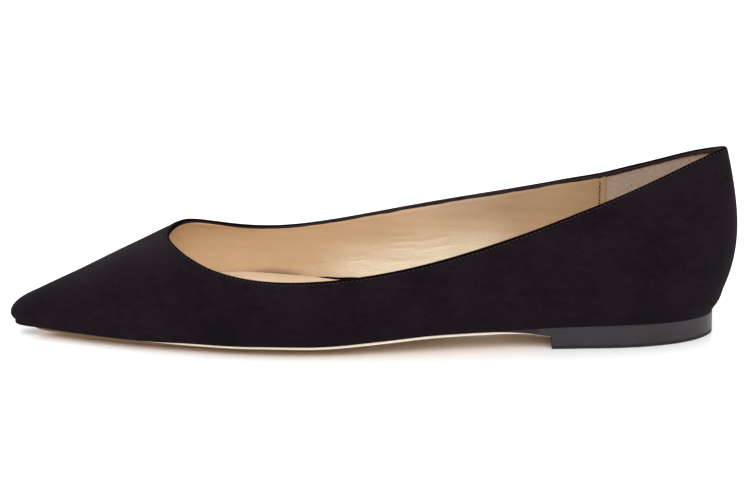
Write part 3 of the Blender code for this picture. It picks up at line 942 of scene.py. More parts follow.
def insole_outlines(settings):
    """Closed outlines of the padded insole, cupped towards the sides, one edge off the lining."""
    first = turn(INSOLE_SHORTENING)
    last = turn(BOTTOM_LENGTH - INSOLE_SHORTENING)
    place = np.linspace(first, last, PLATE_ROWS)
    low_edges = []
    high_edges = []
    for side in (place, 2 - place):
        foot = lower_edge(side)
        low = foot[:, 2] + WALL + GAP
        high = low + by_station("insole", foot[:, 0]) + INSOLE_CUP
        for level, edges in ((low, low_edges), (high, high_edges)):
            climb = climb_at_height(side, level)
            edges.append(under_face(side, climb, WALL + INSOLE_CLEARANCE))
    inner_high = high_edges[1]
    inner_high[:, 2] += 0.4 * mound(inner_high[:, 0], -58, 16)
    stand_off = STANDOFF * mound(inner_high[:, 0], STANDOFF_X, STANDOFF_RUN)
    inner_high[:, 1] -= stand_off
    low_edges[1][:, 1] -= stand_off
    inner_high[:, 2] -= STANDOFF_SINK * stand_off
    width = edge_span(high_edges)
    shares = edge_shares(INSOLE_COLUMNS, settings.insole_round / MM, width)
    underside = across(low_edges, shares)
    underside[..., 2] = bed_height(underside[..., 0], underside[..., 1]) + WALL + GAP
    top = across(high_edges, shares)
    half = width[:, None] / 2
    top[..., 2] -= INSOLE_CUP * np.minimum(half / CUP_RUN, 1) * belly(shares)
    x = top[..., 0]
    y = top[..., 1]
    dimple = 0.10 * np.sin(x / 9.0 + 0.5) * np.sin(y / 7.0 + 1.1) + 0.06 * np.sin(x / 5.0 - y / 6.0)
    top[..., 2] += dimple * belly(shares)
    return plate_outlines(top, underside, settings.insole_round / MM, LOWER_ROUND)


def sole_top(points):
    """Height of the sole's top under points of the bottom."""
    x = points[..., 0]
    return bed_height(x, points[..., 1]) - SOLE_FIT - wing_depth(x)


def toe_share(x):
    """Share of the sole's edge that stands further out under the toe."""
    return soft_step(-x, 94, 114)


def outsole_outlines(settings):
    """Closed outlines of the thin sole, flat where the ball stands on the floor."""
    place = np.linspace(turn(HEEL_POINT - BREAST_TOP + GAP), 1 - SOLE_TIP_TURN, PLATE_ROWS)
    edges = []
    low_edges = []
    for side in (place, 2 - place):
        at_toe = toe_share(lower_edge(side)[:, 0])
        edge = set_back(inset_edge(side, SOLE_INSET + (TOE_INSET - SOLE_INSET) * at_toe))
        bevel = SOLE_BEVEL + (SOLE_BEVEL_TOE - SOLE_BEVEL) * soft_step(-edge[:, 0], 56, 92)
        bevel = bevel + (TOE_BEVEL - bevel) * at_toe
        edges.append(edge)
        low_edges.append(edge - outward(side) * bevel[:, None])
    width = edge_span(edges)
    narrow = np.minimum(1, NARROW_BEVEL * width / SOLE_BEVEL_TOE)[:, None]
    for edge, low_edge in zip(edges, low_edges):
        low_edge[:] = edge + (low_edge - edge) * narrow
    shares = edge_shares(SOLE_COLUMNS, settings.edge_round / MM, width)
    top = across(edges, shares)
    top[..., 2] = sole_top(top)
    underside = across(low_edges, shares)
    middle = by_station("sole", underside[..., 0])
    edge = np.minimum(middle, SOLE_EDGE)
    underside[..., 2] = sole_top(underside) - edge - (middle - edge) * belly(shares)
    underside[..., 2] = np.maximum(underside[..., 2], 0)
    waist = []
    for edge in (top[:, 0], top[:, -1]):
        face = np.interp(edge[:, 0], SOLE_FACE_X, SOLE_FACE)
        waist.append(edge - UP * face[:, None])
    return plate_outlines(top, underside, SOLE_TOP_ROUND, settings.edge_round / MM, waist)


def heel_outlines(settings):
    """Closed outlines of the heel block, its breast and the wing under the upper."""
    back = np.linspace(END_TURN, turn(HEEL_POINT - BREAST_FOOT), HEEL_ROWS)
    lip = turn(HEEL_POINT - BREAST_FOOT - BREAST_LIP)
    back = np.sort(np.append(back, lip))
    wing = np.linspace(turn(HEEL_POINT - BREAST_TOP), turn(HEEL_POINT - WING_END), WING_ROWS)
    place = np.concatenate([back, wing])
    in_wing = np.arange(len(place)) >= len(back)
    floor = np.full(len(place), TOP_PIECE + TOP_PIECE_FIT)
    floor[len(back) - 1] += BREAST_LIP_RISE
    high_edges = []
    low_edges = []
    for side in (place, 2 - place):
        foot = lower_edge(side)
        wing_height = wing_depth(foot[:, 0]) - WING_GAP
        depth = np.where(in_wing, wing_height, foot[:, 2] - SOLE_FIT - floor)
        high_edges.append(heel_edge(side, np.zeros(len(place))))
        low_edges.append(heel_edge(side, depth))
    shares = edge_shares(HEEL_COLUMNS, settings.edge_round / MM, edge_span(high_edges))
    top = across(high_edges, shares)
    top[..., 2] = bed_height(top[..., 0], top[..., 1]) - SOLE_FIT
    underside = across(low_edges, shares)
    seat = bed_height(underside[..., 0], underside[..., 1]) - SOLE_FIT
    wing_foot = seat - (wing_depth(underside[..., 0]) - WING_GAP)
    underside[..., 2] = np.where(in_wing[:, None], wing_foot, floor[:, None])
    return plate_outlines(top, underside, HEEL_TOP_ROUND, settings.edge_round / MM * HEEL_FOOT_SHARE)


def top_piece_outlines(settings):
    """Closed outlines of the flat wear piece under the heel."""
    place = np.linspace(END_TURN, turn(HEEL_POINT - BREAST_FOOT), HEEL_ROWS)
    edges = []
    for side in (place, 2 - place):
        edges.append(heel_edge(side, lower_edge(side)[:, 2] - GAP - TOP_PIECE))
    shares = edge_shares(TOP_PIECE_COLUMNS, settings.edge_round / MM, edge_span(edges))
    top = across(edges, shares)
    top[..., 2] = TOP_PIECE
    underside = top.copy()
    underside[..., 2] = 0
    return plate_outlines(top, underside, TOP_PIECE_ROUND, LOWER_ROUND)


def new_group(name, inputs, outputs):
    """Shader node group with named sockets, built once: its tree, its input and its output node."""
    tree = bpy.data.node_groups.new(name, "ShaderNodeTree")
    for label, kind, value in inputs:
        socket = tree.interface.new_socket(label, in_out="INPUT", socket_type=kind)
        if value is not None:
            socket.default_value = value
    for label, kind in outputs:
        tree.interface.new_socket(label, in_out="OUTPUT", socket_type=kind)
    return tree, tree.nodes.new("NodeGroupInput"), tree.nodes.new("NodeGroupOutput")


def set_inputs(node, **values):
    """Sets input values by name, an underscore standing for a space."""
    for label, value in values.items():
        node.inputs[label.replace("_", " ")].default_value = value


def add_node(tree, kind, operation=None, **values):
    """Node with input values by name."""
    node = tree.nodes.new(kind)
    if operation is not None:
        node.operation = operation
    set_inputs(node, **values)
    return node


def join(tree, output, socket):
    tree.links.new(output, socket)


def spread_out(tree, value, low, high):
    """Value stretched from a range to the range 0 to 1."""
    node = add_node(tree, "ShaderNodeMapRange", From_Min=low, From_Max=high)
    join(tree, value, node.inputs["Value"])
    return node.outputs["Result"]


def weighted(tree, parts):
    """Sum of values times weights."""
    total = None
    for value, weight in parts:
        node = add_node(tree, "ShaderNodeMath", "MULTIPLY_ADD")
        join(tree, value, node.inputs[0])
        node.inputs[1].default_value = weight
        node.inputs[2].default_value = 0.0
        if total is not None:
            join(tree, total, node.inputs[2])
        total = node.outputs[0]
    return total


def stretched(tree, vector, stretch):
    """Vector with its axes stretched, so that a pattern runs along the shoe."""
    node = add_node(tree, "ShaderNodeVectorMath", "MULTIPLY")
    join(tree, vector, node.inputs[0])
    node.inputs[1].default_value = stretch
    return node.outputs[0]


def noise(tree, vector, scale, detail, roughness):
    """Noise whose scale is a number or an output."""
    node = add_node(tree, "ShaderNodeTexNoise", Detail=detail, Roughness=roughness)
    join(tree, vector, node.inputs["Vector"])
    if isinstance(scale, (int, float)):
        node.inputs["Scale"].default_value = scale
    else:
        join(tree, scale, node.inputs["Scale"])
    return node.outputs["Fac"]


def surface_group(name, scales):
    """Group of a surface from a place and its scales, which puts out a height and a shade."""
    inputs = [("Vector", "NodeSocketVector", None)]
    inputs += [(label, "NodeSocketFloat", scale) for label, scale in scales.items()]
    return new_group(name, inputs, [("Height", "NodeSocketFloat"), ("Shade", "NodeSocketFloat")])


def nap_group():
    """Brushed nap: short fibres that lie along the shoe, in patches that lie differently."""
    name = "brushed_nap"
    if name in bpy.data.node_groups:
        return bpy.data.node_groups[name]
    scales = {"Fibre Scale": 1600.0, "Clump Scale": 420.0, "Patch Scale": 55.0}
    tree, start, end = surface_group(name, scales)
    combed = stretched(tree, start.outputs["Vector"], (0.55, 1.0, 1.0))
    fibre = noise(tree, combed, start.outputs["Fibre Scale"], 3.0, 0.6)
    clump = noise(tree, combed, start.outputs["Clump Scale"], 3.0, 0.55)
    patch = noise(tree, start.outputs["Vector"], start.outputs["Patch Scale"], 2.0, 0.5)
    height = weighted(tree, [(fibre, 0.6), (clump, 0.4)])
    shade = weighted(tree, [(patch, 0.40), (clump, 0.35), (fibre, 0.25)])
    join(tree, height, end.inputs["Height"])
    join(tree, spread_out(tree, shade, 0.32, 0.68), end.inputs["Shade"])
    return tree


def grain_group():
    """Leather grain: fine pebbles and soft wrinkles that run along the shoe."""
    name = "leather_grain"
    if name in bpy.data.node_groups:
        return bpy.data.node_groups[name]
    scales = {"Pebble Scale": 900.0, "Wrinkle Scale": 420.0, "Cloud Scale": 40.0}
    tree, start, end = surface_group(name, scales)
    pebble = tree.nodes.new("ShaderNodeTexVoronoi")
    join(tree, start.outputs["Vector"], pebble.inputs["Vector"])
    join(tree, start.outputs["Pebble Scale"], pebble.inputs["Scale"])
    along = stretched(tree, start.outputs["Vector"], (0.16, 0.6, 1.0))
    wrinkle = noise(tree, along, start.outputs["Wrinkle Scale"], 2.0, 0.5)
    cloud = noise(tree, start.outputs["Vector"], start.outputs["Cloud Scale"], 3.0, 0.55)
    height = weighted(tree, [(pebble.outputs["Distance"], -0.35), (wrinkle, 0.65)])
    shade = weighted(tree, [(cloud, 0.6), (wrinkle, 0.4)])
    join(tree, height, end.inputs["Height"])
    join(tree, spread_out(tree, shade, 0.32, 0.68), end.inputs["Shade"])
    return tree


def tone_group():
    """Colour made darker and lighter by a shade, by an amount to either side."""
    name = "tone_by_shade"
    if name in bpy.data.node_groups:
        return bpy.data.node_groups[name]
    tree, start, end = new_group(
        name,
        [
            ("Colour", "NodeSocketColor", (0.5, 0.5, 0.5, 1.0)),
            ("Shade", "NodeSocketFloat", 0.5),
            ("Amount", "NodeSocketFloat", 0.1),
        ],
        [("Colour", "NodeSocketColor")],
    )
    lean = add_node(tree, "ShaderNodeMath", "MULTIPLY_ADD")
    join(tree, start.outputs["Shade"], lean.inputs[0])
    lean.inputs[1].default_value = 2.0
    lean.inputs[2].default_value = -1.0
    factor = add_node(tree, "ShaderNodeMath", "MULTIPLY_ADD")
    join(tree, lean.outputs[0], factor.inputs[0])
    join(tree, start.outputs["Amount"], factor.inputs[1])
    factor.inputs[2].default_value = 1.0
    scaled = add_node(tree, "ShaderNodeVectorMath", "SCALE")
    join(tree, start.outputs["Colour"], scaled.inputs[0])
    join(tree, factor.outputs[0], scaled.inputs["Scale"])
    join(tree, scaled.outputs[0], end.inputs["Colour"])
    return tree


def new_material(name, colour):
    """Material with its tree, its shader and the place of a point on the shoe."""
    old = bpy.data.materials.get(name)
    if old is not None:
        bpy.data.materials.remove(old)
    material = bpy.data.materials.new(name)
    material.use_nodes = True
    material.diffuse_color = (*colour, 1.0)
    tree = material.node_tree
    place = tree.nodes.new("ShaderNodeTexCoord").outputs["Object"]
    return material, tree, tree.nodes["Principled BSDF"], place


def dress(tree, shader, group, place, scales, colour, amount, roughness, bump):
    """Joins a surface group to a shader: tone to colour, shade to roughness, height to bump."""
    surface = tree.nodes.new("ShaderNodeGroup")
    surface.node_tree = group
    join(tree, place, surface.inputs["Vector"])
    set_inputs(surface, **scales)
    tone = tree.nodes.new("ShaderNodeGroup")
    tone.node_tree = tone_group()
    set_inputs(tone, Colour=(*colour, 1.0), Amount=amount)
    join(tree, surface.outputs["Shade"], tone.inputs["Shade"])
    join(tree, tone.outputs["Colour"], shader.inputs["Base Color"])
    rough = add_node(tree, "ShaderNodeMapRange", To_Min=roughness[0], To_Max=roughness[1])
    join(tree, surface.outputs["Shade"], rough.inputs["Value"])
    join(tree, rough.outputs["Result"], shader.inputs["Roughness"])
    relief = add_node(tree, "ShaderNodeBump", Strength=1.0, Distance=bump * MM)
    join(tree, surface.outputs["Height"], relief.inputs["Height"])
    join(tree, relief.outputs["Normal"], shader.inputs["Normal"])
    return surface, tone, relief


def dressed_material(name, group, scales, colour, amount, roughness, bump, **values):
    """Material dressed with a surface group, with plain values on the shader's own sockets."""
    material, tree, shader, place = new_material(name, colour)
    dress(tree, shader, group, place, scales, colour, amount, roughness, bump)
    set_inputs(shader, **values)
    return material


def suede_finish(name, colour, amount, sheen, bump, scales=None):
    """Napped suede: matte, with a soft sheen where it turns away."""
    shine = {
        "Specular IOR Level": 0.03,
        "Diffuse Roughness": 0.9,
        "Sheen Weight": sheen,
        "Sheen Roughness": 0.5,
        "Sheen Tint": (0.75, 0.68, 0.72, 1.0),
    }
    return dressed_material(name, nap_group(), scales or {}, colour, amount, (0.88, 1.0), bump, **shine)


def leather_finish(name, colour, amount, scales, roughness, bump, gloss):
    """Smooth leather with fine grain."""
    shine = {"Specular IOR Level": gloss}
    return dressed_material(name, grain_group(), scales, colour, amount, roughness, bump, **shine)


def stored_share(tree, name):
    """Share stored on the mesh under a name."""
    node = tree.nodes.new("ShaderNodeAttribute")
    node.attribute_name = name
    return node.outputs["Fac"]


def blended(tree, share, start, end):
    """Colour between two, by a share: each is a colour or an output."""
    node = tree.nodes.new("ShaderNodeMix")
    node.data_type = "RGBA"
    join(tree, share, node.inputs["Factor"])
    for socket, value in ((node.inputs[6], start), (node.inputs[7], end)):
        if isinstance(value, tuple):
            socket.default_value = (*value, 1.0)
        else:
            join(tree, value, socket)
    return node.outputs[2]


def lining_finish(name, settings, scales):
    """Lining leather: finely wrinkled where it is crumpled, paler there with a painted sheen, and
    darker towards the heel with painted shade.
    """
    colour = tuple(settings.lining_colour)
    material, tree, shader, place = new_material(name, colour)
    surface, tone, relief = dress(
        tree, shader, grain_group(), place, scales, colour, 0.05, (0.34, 0.46), 0.22
    )
    # Stored shares blend painted shade and a painted sheen into the lining's colour; the crumple share
    # also sets the wrinkles' strength.
    crumple = stored_share(tree, "crumple")
    shaded_lining = blended(tree, stored_share(tree, "handling"), colour, tuple(settings.lining_shade_colour))
    pale = blended(tree, crumple, shaded_lining, tuple(settings.painted_sheen_colour))
    join(tree, pale, tone.inputs["Colour"])
    share = add_node(tree, "ShaderNodeMapRange", To_Min=0.18, To_Max=1.0)
    join(tree, crumple, share.inputs["Value"])
    masked = add_node(tree, "ShaderNodeMath", "MULTIPLY")
    join(tree, surface.outputs["Height"], masked.inputs[0])
    join(tree, share.outputs["Result"], masked.inputs[1])
    join(tree, masked.outputs[0], relief.inputs["Height"])
    set_inputs(shader, Specular_IOR_Level=0.7)
    return material


def thread_finish(name, colour):
    """Sewing thread: matte, with fine fibres."""
    scales = {"Fibre Scale": 2600.0, "Clump Scale": 1500.0, "Patch Scale": 90.0}
    shine = {"Specular IOR Level": 0.2}
    return dressed_material(name, nap_group(), scales, colour, 0.25, (0.6, 0.8), 0.08, **shine)


def heel_finish(name, colour, gloss, wax):
    """Dyed and waxed heel cover, satin, with faint lines along it."""
    scales = {"Pebble Scale": 1500.0, "Wrinkle Scale": 900.0, "Cloud Scale": 60.0}
    shine = {"Specular IOR Level": gloss, "Coat Weight": wax, "Coat Roughness": 0.3}
    return dressed_material(name, grain_group(), scales, colour, 0.34, (0.34, 0.48), 0.04, **shine)


def rubber_finish(name, colour):
    """Moulded rubber with a fine sanded face."""
    scales = {"Fibre Scale": 2200.0, "Clump Scale": 900.0, "Patch Scale": 80.0}
    shine = {"Specular IOR Level": 0.3}
    return dressed_material(name, nap_group(), scales, colour, 0.3, (0.6, 0.8), 0.05, **shine)


def colour_property(name, description, default):
    return bpy.props.FloatVectorProperty(
        name=name,
        description=description,
        default=default,
        size=3,
        min=0.0,
        max=1.0,
        subtype="COLOR",
    )


def number_property(name, description, default, **limits):
    return bpy.props.FloatProperty(name=name, description=description, default=default, **limits)


def length_property(name, description, default):
    return number_property(name, description, default, min=0.0, precision=5, unit="LENGTH")


def power_property(name, description, default):
    return number_property(name, description, default, min=0.0, unit="POWER")


class FlatUpperSettings(bpy.types.PropertyGroup):
    """Sizes and colours of the suede and its stitches."""

    suede_colour: colour_property("Suede", "Colour of the napped suede", (0.0088, 0.0056, 0.0080))
    # Painted shade: a darker suede for the rolled topline and the rows of the outer face under it,
    # where the edge throws a dark line.
    folded_shade_colour: colour_property(
        "Folded suede", "Colour of the suede pressed over the edge", (0.0030, 0.0014, 0.0013)
    )
    turned_colour: colour_property(
        "Turned suede", "Colour of the suede turned in", (0.0280, 0.0190, 0.0180)
    )
    thread_colour: colour_property("Thread", "Colour of the topline's thread", (0.022, 0.0172, 0.019))
    topline_thickness: length_property(
        "Topline thickness", "Suede and lining together at the topline", 0.0018
    )
    topline_roll: length_property("Topline roll", "Height of the rolled edge over the collar", 0.0005)
    turned_edge: length_property(
        "Turned edge", "Suede turned in at the collar, before its change by place", 0.001
    )
    stitch_inset: length_property("Stitch inset", "Stitch row under the topline", 0.0009)
    stitch_pitch: length_property("Stitch pitch", "From one stitch to the next", 0.0017)
    stitch_length: length_property("Stitch length", "Thread that shows in a stitch", 0.0011)
    thread_width: length_property("Thread width", "Thickness of the thread", 0.0003)


class FlatLiningSettings(bpy.types.PropertyGroup):
    """Colours of the lining and the heel grip."""

    lining_colour: colour_property("Lining", "Colour of the lining leather", (0.620, 0.415, 0.235))
    # Painted shade: the lining is blended towards this darker colour towards the heel and above the
    # insole's edge at the ball.
    lining_shade_colour: colour_property(
        "Shaded lining", "Colour of the lining towards the heel", (0.323, 0.207, 0.120)
    )
    # Painted sheen: the lining pales towards this colour where it is crumpled, low on the wall at the
    # waist.
    painted_sheen_colour: colour_property(
        "Lining sheen", "Colour of the lining at the waist", (0.60, 0.515, 0.39)
    )
    grip_colour: colour_property("Heel grip", "Colour of the heel grip's suede", (0.415, 0.315, 0.252))
    thread_colour: colour_property(
        "Seam thread", "Colour of the lining seam's thread", (0.07, 0.035, 0.018)
    )
    thread_width: length_property("Seam thread width", "Thickness of the seam's thread", 0.00045)


class FlatBottomSettings(bpy.types.PropertyGroup):
    """Sizes and colours of the insole, the sole and the heel."""

    insole_colour: colour_property("Insole", "Colour of the insole leather", (0.535, 0.412, 0.288))
    sole_edge_colour: colour_property(
        "Sole edge", "Colour of the sole's trimmed edge", (0.82, 0.705, 0.565)
    )
    # Stain deepened with painted shade: the bevel faces down under the sole's edge.
    bevel_stain_shade_colour: colour_property(
        "Sole bevel", "Colour of the stained bevel under the edge", (0.125, 0.070, 0.039)
    )
    sole_colour: colour_property(
        "Sole face", "Colour of the sole leather underneath", (0.56, 0.31, 0.085)
    )
    heel_colour: colour_property("Heel", "Colour of the heel", (0.0185, 0.0132, 0.0168))
    rubber_colour: colour_property("Top piece", "Colour of the rubber top piece", (0.010, 0.010, 0.010))
    insole_round: length_property("Insole edge", "Rounding of the insole's edge", 0.0010)
    edge_round: length_property("Edge rounding", "Rounding of the sole's and heel's edges", 0.0005)


class FlatStageSettings(bpy.types.PropertyGroup):
    """Floor, light and camera."""

    floor_colour: colour_property("Floor", "Colour of the pale floor", (0.94, 0.94, 0.94))
    surround: number_property("Surround", "Strength of the white surround", 1.15, min=0.0)
    overhead_lamp: power_property("Overhead lamp", "Power of the soft overhead lamp", 10.0)
    front_lamp: power_property("Front lamp", "Power of the soft lamp above the camera", 8.0)
    camera_elevation: number_property(
        "Camera elevation", "Angle of the camera above the floor", np.radians(16.2), subtype="ANGLE"
    )
    camera_distance: length_property("Camera distance", "From the camera to what it looks at", 1.2)
    camera_aim: length_property("Camera aim", "Height that the camera looks at", 0.0344)
    lens: number_property("Lens", "Focal length of the camera", 156.8, min=1.0, unit="CAMERA")


class FLAT_OT_suede_upper(bpy.types.Operator):
    """Makes the suede upper over the last, with its rolled topline and turned edge"""

    bl_idname = "flat.suede_upper"
    bl_label = "Suede upper"

    def execute(self, context):
        settings = context.scene.flat_upper
        finish, fold_shade_finish, turned = (
            suede_finish(name, colour, amount, sheen, bump)
            for name, colour, amount, sheen, bump in (
                ("black_suede_nap", settings.suede_colour, 0.45, 0.02, 0.12),
                ("folded_suede_edge", settings.folded_shade_colour, 0.34, 0.0, 0.06),
                ("turned_suede_edge", settings.turned_colour, 0.45, 0.02, 0.10),
            )
        )
        outlines = upper_outlines(settings)
        upper = sweep_piece("suede_upper", outlines, True, finish, "upper")
        upper.data.materials.append(fold_shade_finish)
        upper.data.materials.append(turned)
        corners = outlines.shape[1]
        face_rows = len(FOOT_RISES) + MIDDLE_ROWS + len(TOP_DROPS)
        edge_start = MARGIN_ROWS + BEND_ROWS + face_rows - 1
        turned_start = edge_start + ROLL_ROWS - 2
        edge_end = edge_start + ROLL_ROWS + TURNED_ROWS
        collar_x = wall(np.arange(RING_STEPS) * 2 / RING_STEPS, 1.0)[:, 0]
        # Rows of the outer face under the roll that take the darker suede as painted shade, more at the
        # throat; the roll takes it too, all but its inner end.
        pressed = np.where(collar_x < THROAT_X, SHADED_ROWS_AT_THROAT, SHADED_ROWS)
        for face in upper.data.polygons:
            row, step = divmod(face.index, corners)
            if edge_start - pressed[row] <= step < edge_end:
                face.material_index = 1 if step < turned_start else 2
        return {"FINISHED"}


class FLAT_OT_topline_stitches(bpy.types.Operator):
    """Makes the row of stitches under the topline"""

    bl_idname = "flat.topline_stitches"
    bl_label = "Topline stitches"

    def execute(self, context):
        settings = context.scene.flat_upper
        starts, ends, normals = topline_stitches(settings)
        points, faces = stitch_mesh(starts, ends, normals, settings.thread_width / MM / 2)
        finish = thread_finish("topline_thread", settings.thread_colour)
        make_piece("topline_stitches", points, faces, finish)
        return {"FINISHED"}


class FLAT_OT_lining(bpy.types.Operator):
    """Makes the leather lining, the heel grip and the seam between them"""

    bl_idname = "flat.lining"
    bl_label = "Lining and heel grip"

    def execute(self, context):
        settings = context.scene.flat_lining
        end = turn(HEEL_POINT - LINING_END)
        place = np.linspace(end, 2 - end, RING_STEPS)
        outlines = lining_outlines(place, lining_depth, LINING_CREASES, LINING_ROWS)
        scales = {"Pebble Scale": 1100.0, "Wrinkle Scale": 1150.0, "Cloud Scale": 45.0}
        leather = lining_finish("lining_leather", settings, scales)
        lining = sweep_piece("lining", outlines, False, leather)
        # Shares stored on the lining: crumpling with its painted sheen, and painted shade.
        for name, share in (("crumple", crumple_sheen_share), ("handling", lining_shade_share)):
            stored = lining.data.attributes.new(name, "FLOAT", "POINT")
            stored.data.foreach_set("value", share(outlines.reshape(-1, 3)))

        front = turn(HEEL_POINT - GRIP_START)
        place = np.linspace(2 - front, 2 + front, GRIP_STEPS)
        outlines = lining_outlines(place, grip_depth, (), GRIP_ROWS)
        scales = {"Fibre Scale": 2600.0, "Clump Scale": 1700.0, "Patch Scale": 1000.0}
        suede = suede_finish(
            "heel_grip_suede", settings.grip_colour, amount=0.26, sheen=0.1, bump=0.10, scales=scales
        )
        sweep_piece("heel_grip", outlines, False, suede)

        points = []
        faces = []
        for side in ("outer", "inner"):
            made, quads = stitch_mesh(*seam_stitches(side), settings.thread_width / MM / 2)
            first = sum(len(part) for part in points)
            points.append(made)
            faces += [tuple(first + index for index in quad) for quad in quads]
        thread = thread_finish("lining_seam_thread", settings.thread_colour)
        make_piece("lining_seam_stitches", np.concatenate(points), faces, thread)
        return {"FINISHED"}


class FLAT_OT_insole(bpy.types.Operator):
    """Makes the padded insole"""

    bl_idname = "flat.insole"
    bl_label = "Insole"

    def execute(self, context):
        settings = context.scene.flat_bottom
        scales = {"Pebble Scale": 1300.0, "Wrinkle Scale": 260.0, "Cloud Scale": 35.0}
        leather = leather_finish(
            "insole_leather",
            settings.insole_colour,
            amount=0.09,
            scales=scales,
            roughness=(0.5, 0.62),
            bump=0.05,
            gloss=0.3,
        )
        outlines = insole_outlines(settings)
        piece = sweep_piece("insole_sock", outlines, False, leather, "insole")
        return {"FINISHED"}


class FLAT_OT_outsole(bpy.types.Operator):
    """Makes the thin leather sole"""

    bl_idname = "flat.outsole"
    bl_label = "Sole"

    def execute(self, context):
        settings = context.scene.flat_bottom
        scales = {"Pebble Scale": 1600.0, "Wrinkle Scale": 700.0, "Cloud Scale": 30.0}
        trimmed, stained, leather = (
            leather_finish(name, colour, amount, scales, roughness, bump, gloss)
            for name, colour, amount, roughness, bump, gloss in (
                ("sole_edge_leather", settings.sole_edge_colour, 0.08, (0.42, 0.6), 0.04, 0.4),
                ("sole_bevel_stain", settings.bevel_stain_shade_colour, 0.15, (0.45, 0.6), 0.04, 0.3),
                ("sole_face_leather", settings.sole_colour, 0.12, (0.4, 0.58), 0.05, 0.4),
            )
        )
        outlines = outsole_outlines(settings)
        sole = sweep_piece("leather_sole", outlines, False, trimmed, "outsole")
        sole.data.materials.append(stained)
        sole.data.materials.append(leather)
        corners = outlines.shape[1]
        bevel_start = SOLE_COLUMNS + CORNER_STEPS + CORNER_STEPS // 2
        # Bevel faces take the dark stain with its painted shade, the faces under them the sole's own
        # tan.
        for face in sole.data.polygons:
            from_edge = min(face.index % corners, corners - 1 - face.index % corners + SOLE_COLUMNS)
            if from_edge >= bevel_start:
                face.material_index = 1 if from_edge < bevel_start + CORNER_STEPS else 2
        return {"FINISHED"}


class FLAT_OT_heel(bpy.types.Operator):
    """Makes the low heel with its wing, and the rubber top piece under it"""

    bl_idname = "flat.heel"
    bl_label = "Heel and top piece"

    def execute(self, context):
        settings = context.scene.flat_bottom
        satin = heel_finish("dyed_heel_cover", settings.heel_colour, gloss=0.30, wax=0.05)
        dull = heel_finish("dyed_wing_cover", settings.heel_colour, gloss=0.18, wax=0.0)
        heel = sweep_piece("heel_block", heel_outlines(settings), False, satin, "heel")
        heel.data.materials.append(dull)
        for face in heel.data.polygons:
            if face.center[0] < (WING_DULL + SHIFT[0]) * MM:
                face.material_index = 1
        rubber = rubber_finish("top_piece_rubber", settings.rubber_colour)
        outlines = top_piece_outlines(settings)
        sweep_piece("top_piece", outlines, False, rubber, "heel_top_piece")
        return {"FINISHED"}


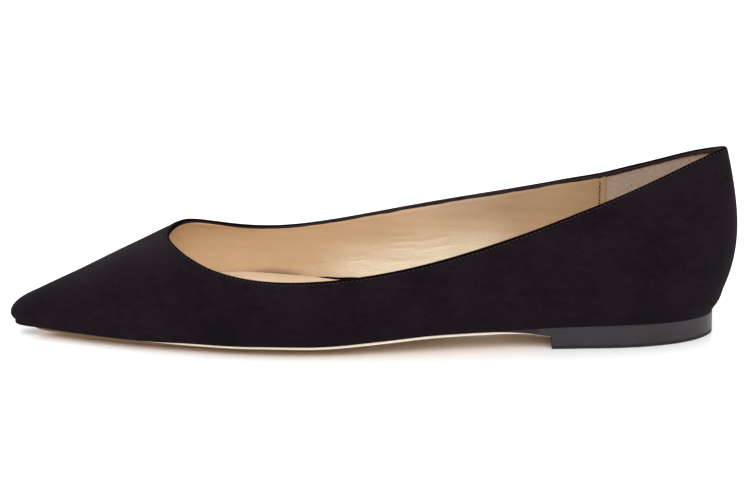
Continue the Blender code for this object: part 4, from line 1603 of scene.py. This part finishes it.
class FLAT_OT_stage(bpy.types.Operator):
    """Makes the pale floor, the soft studio light and the camera"""

    bl_idname = "flat.stage"
    bl_label = "Stage"

    def execute(self, context):
        settings = context.scene.flat_stage
        scene = context.scene
        mesh = bpy.data.meshes.new("floor")
        half = FLOOR_HALF
        corners = [(-half, -half, 0), (half, -half, 0), (half, half, 0), (-half, half, 0)]
        mesh.from_pydata(corners, [], [(0, 1, 2, 3)])
        paint = bpy.data.materials.new("floor_paint")
        paint.use_nodes = True
        shader = paint.node_tree.nodes["Principled BSDF"]
        floor_colour = (*settings.floor_colour, 1.0)
        set_inputs(shader, Base_Color=floor_colour, Roughness=0.15, Specular_IOR_Level=0.5)
        mesh.materials.append(paint)
        floor = bpy.data.objects.new("floor", mesh)
        scene.collection.objects.link(floor)

        world = bpy.data.worlds.new("white_surround")
        world.use_nodes = True
        background = world.node_tree.nodes["Background"]
        set_inputs(background, Color=(1.0, 1.0, 1.0, 1.0), Strength=settings.surround)
        scene.world = world

        for softbox in SOFTBOXES:
            lamp = bpy.data.lights.new(softbox.name, "AREA")
            lamp.shape = "RECTANGLE"
            lamp.size, lamp.size_y = softbox.size
            lamp.energy = getattr(settings, softbox.power)
            lamp_object = bpy.data.objects.new(softbox.name, lamp)
            lamp_object.location = softbox.location
            lamp_object.rotation_euler = (softbox.tilt, 0.0, 0.0)
            lamp_object.visible_camera = False
            scene.collection.objects.link(lamp_object)

        aim = np.array((SHIFT[0] * MM, SHIFT[1] * MM, settings.camera_aim))
        rise = settings.camera_elevation
        back = np.array((0.0, -np.cos(rise), np.sin(rise)))
        data = bpy.data.cameras.new("photo_camera")
        data.lens = settings.lens
        data.sensor_width = SENSOR_WIDTH
        camera = bpy.data.objects.new("photo_camera", data)
        camera.location = aim + back * settings.camera_distance
        camera.rotation_euler = (np.pi / 2 - rise, 0.0, 0.0)
        scene.collection.objects.link(camera)
        scene.camera = camera
        scene.view_settings.view_transform = "Standard"
        return {"FINISHED"}


class FLAT_PT_pieces(bpy.types.Panel):
    """Sidebar panel with the pieces of the shoe"""

    bl_idname = "FLAT_PT_pieces"
    bl_label = "Ballet flat"
    bl_space_type = "VIEW_3D"
    bl_region_type = "UI"
    bl_category = "Ballet flat"

    def draw(self, context):
        scene = context.scene
        for settings, pieces in PANEL_ROWS:
            box = self.layout.box()
            for piece in pieces:
                box.operator(piece.bl_idname)
            group = getattr(scene, settings)
            for label in group.bl_rna.properties.keys():
                if label not in ("rna_type", "name"):
                    box.prop(group, label)


PANEL_ROWS = (
    ("flat_upper", (FLAT_OT_suede_upper, FLAT_OT_topline_stitches)),
    ("flat_lining", (FLAT_OT_lining,)),
    ("flat_bottom", (FLAT_OT_insole, FLAT_OT_outsole, FLAT_OT_heel)),
    ("flat_stage", (FLAT_OT_stage,)),
)
SETTINGS = (
    ("flat_upper", FlatUpperSettings),
    ("flat_lining", FlatLiningSettings),
    ("flat_bottom", FlatBottomSettings),
    ("flat_stage", FlatStageSettings),
)
OPERATORS = tuple(piece for _, pieces in PANEL_ROWS for piece in pieces)


def register():
    for name, settings in SETTINGS:
        bpy.utils.register_class(settings)
        setattr(bpy.types.Scene, name, bpy.props.PointerProperty(type=settings))
    for made in (*OPERATORS, FLAT_PT_pieces):
        bpy.utils.register_class(made)


def unregister():
    for made in (FLAT_PT_pieces, *reversed(OPERATORS)):
        bpy.utils.unregister_class(made)
    for name, settings in reversed(SETTINGS):
        delattr(bpy.types.Scene, name)
        bpy.utils.unregister_class(settings)


def main():
    register()
    bpy.ops.flat.suede_upper()
    bpy.ops.flat.topline_stitches()
    bpy.ops.flat.lining()
    bpy.ops.flat.insole()
    bpy.ops.flat.outsole()
    bpy.ops.flat.heel()
    bpy.ops.flat.stage()


if __name__ == "__main__":
    main()
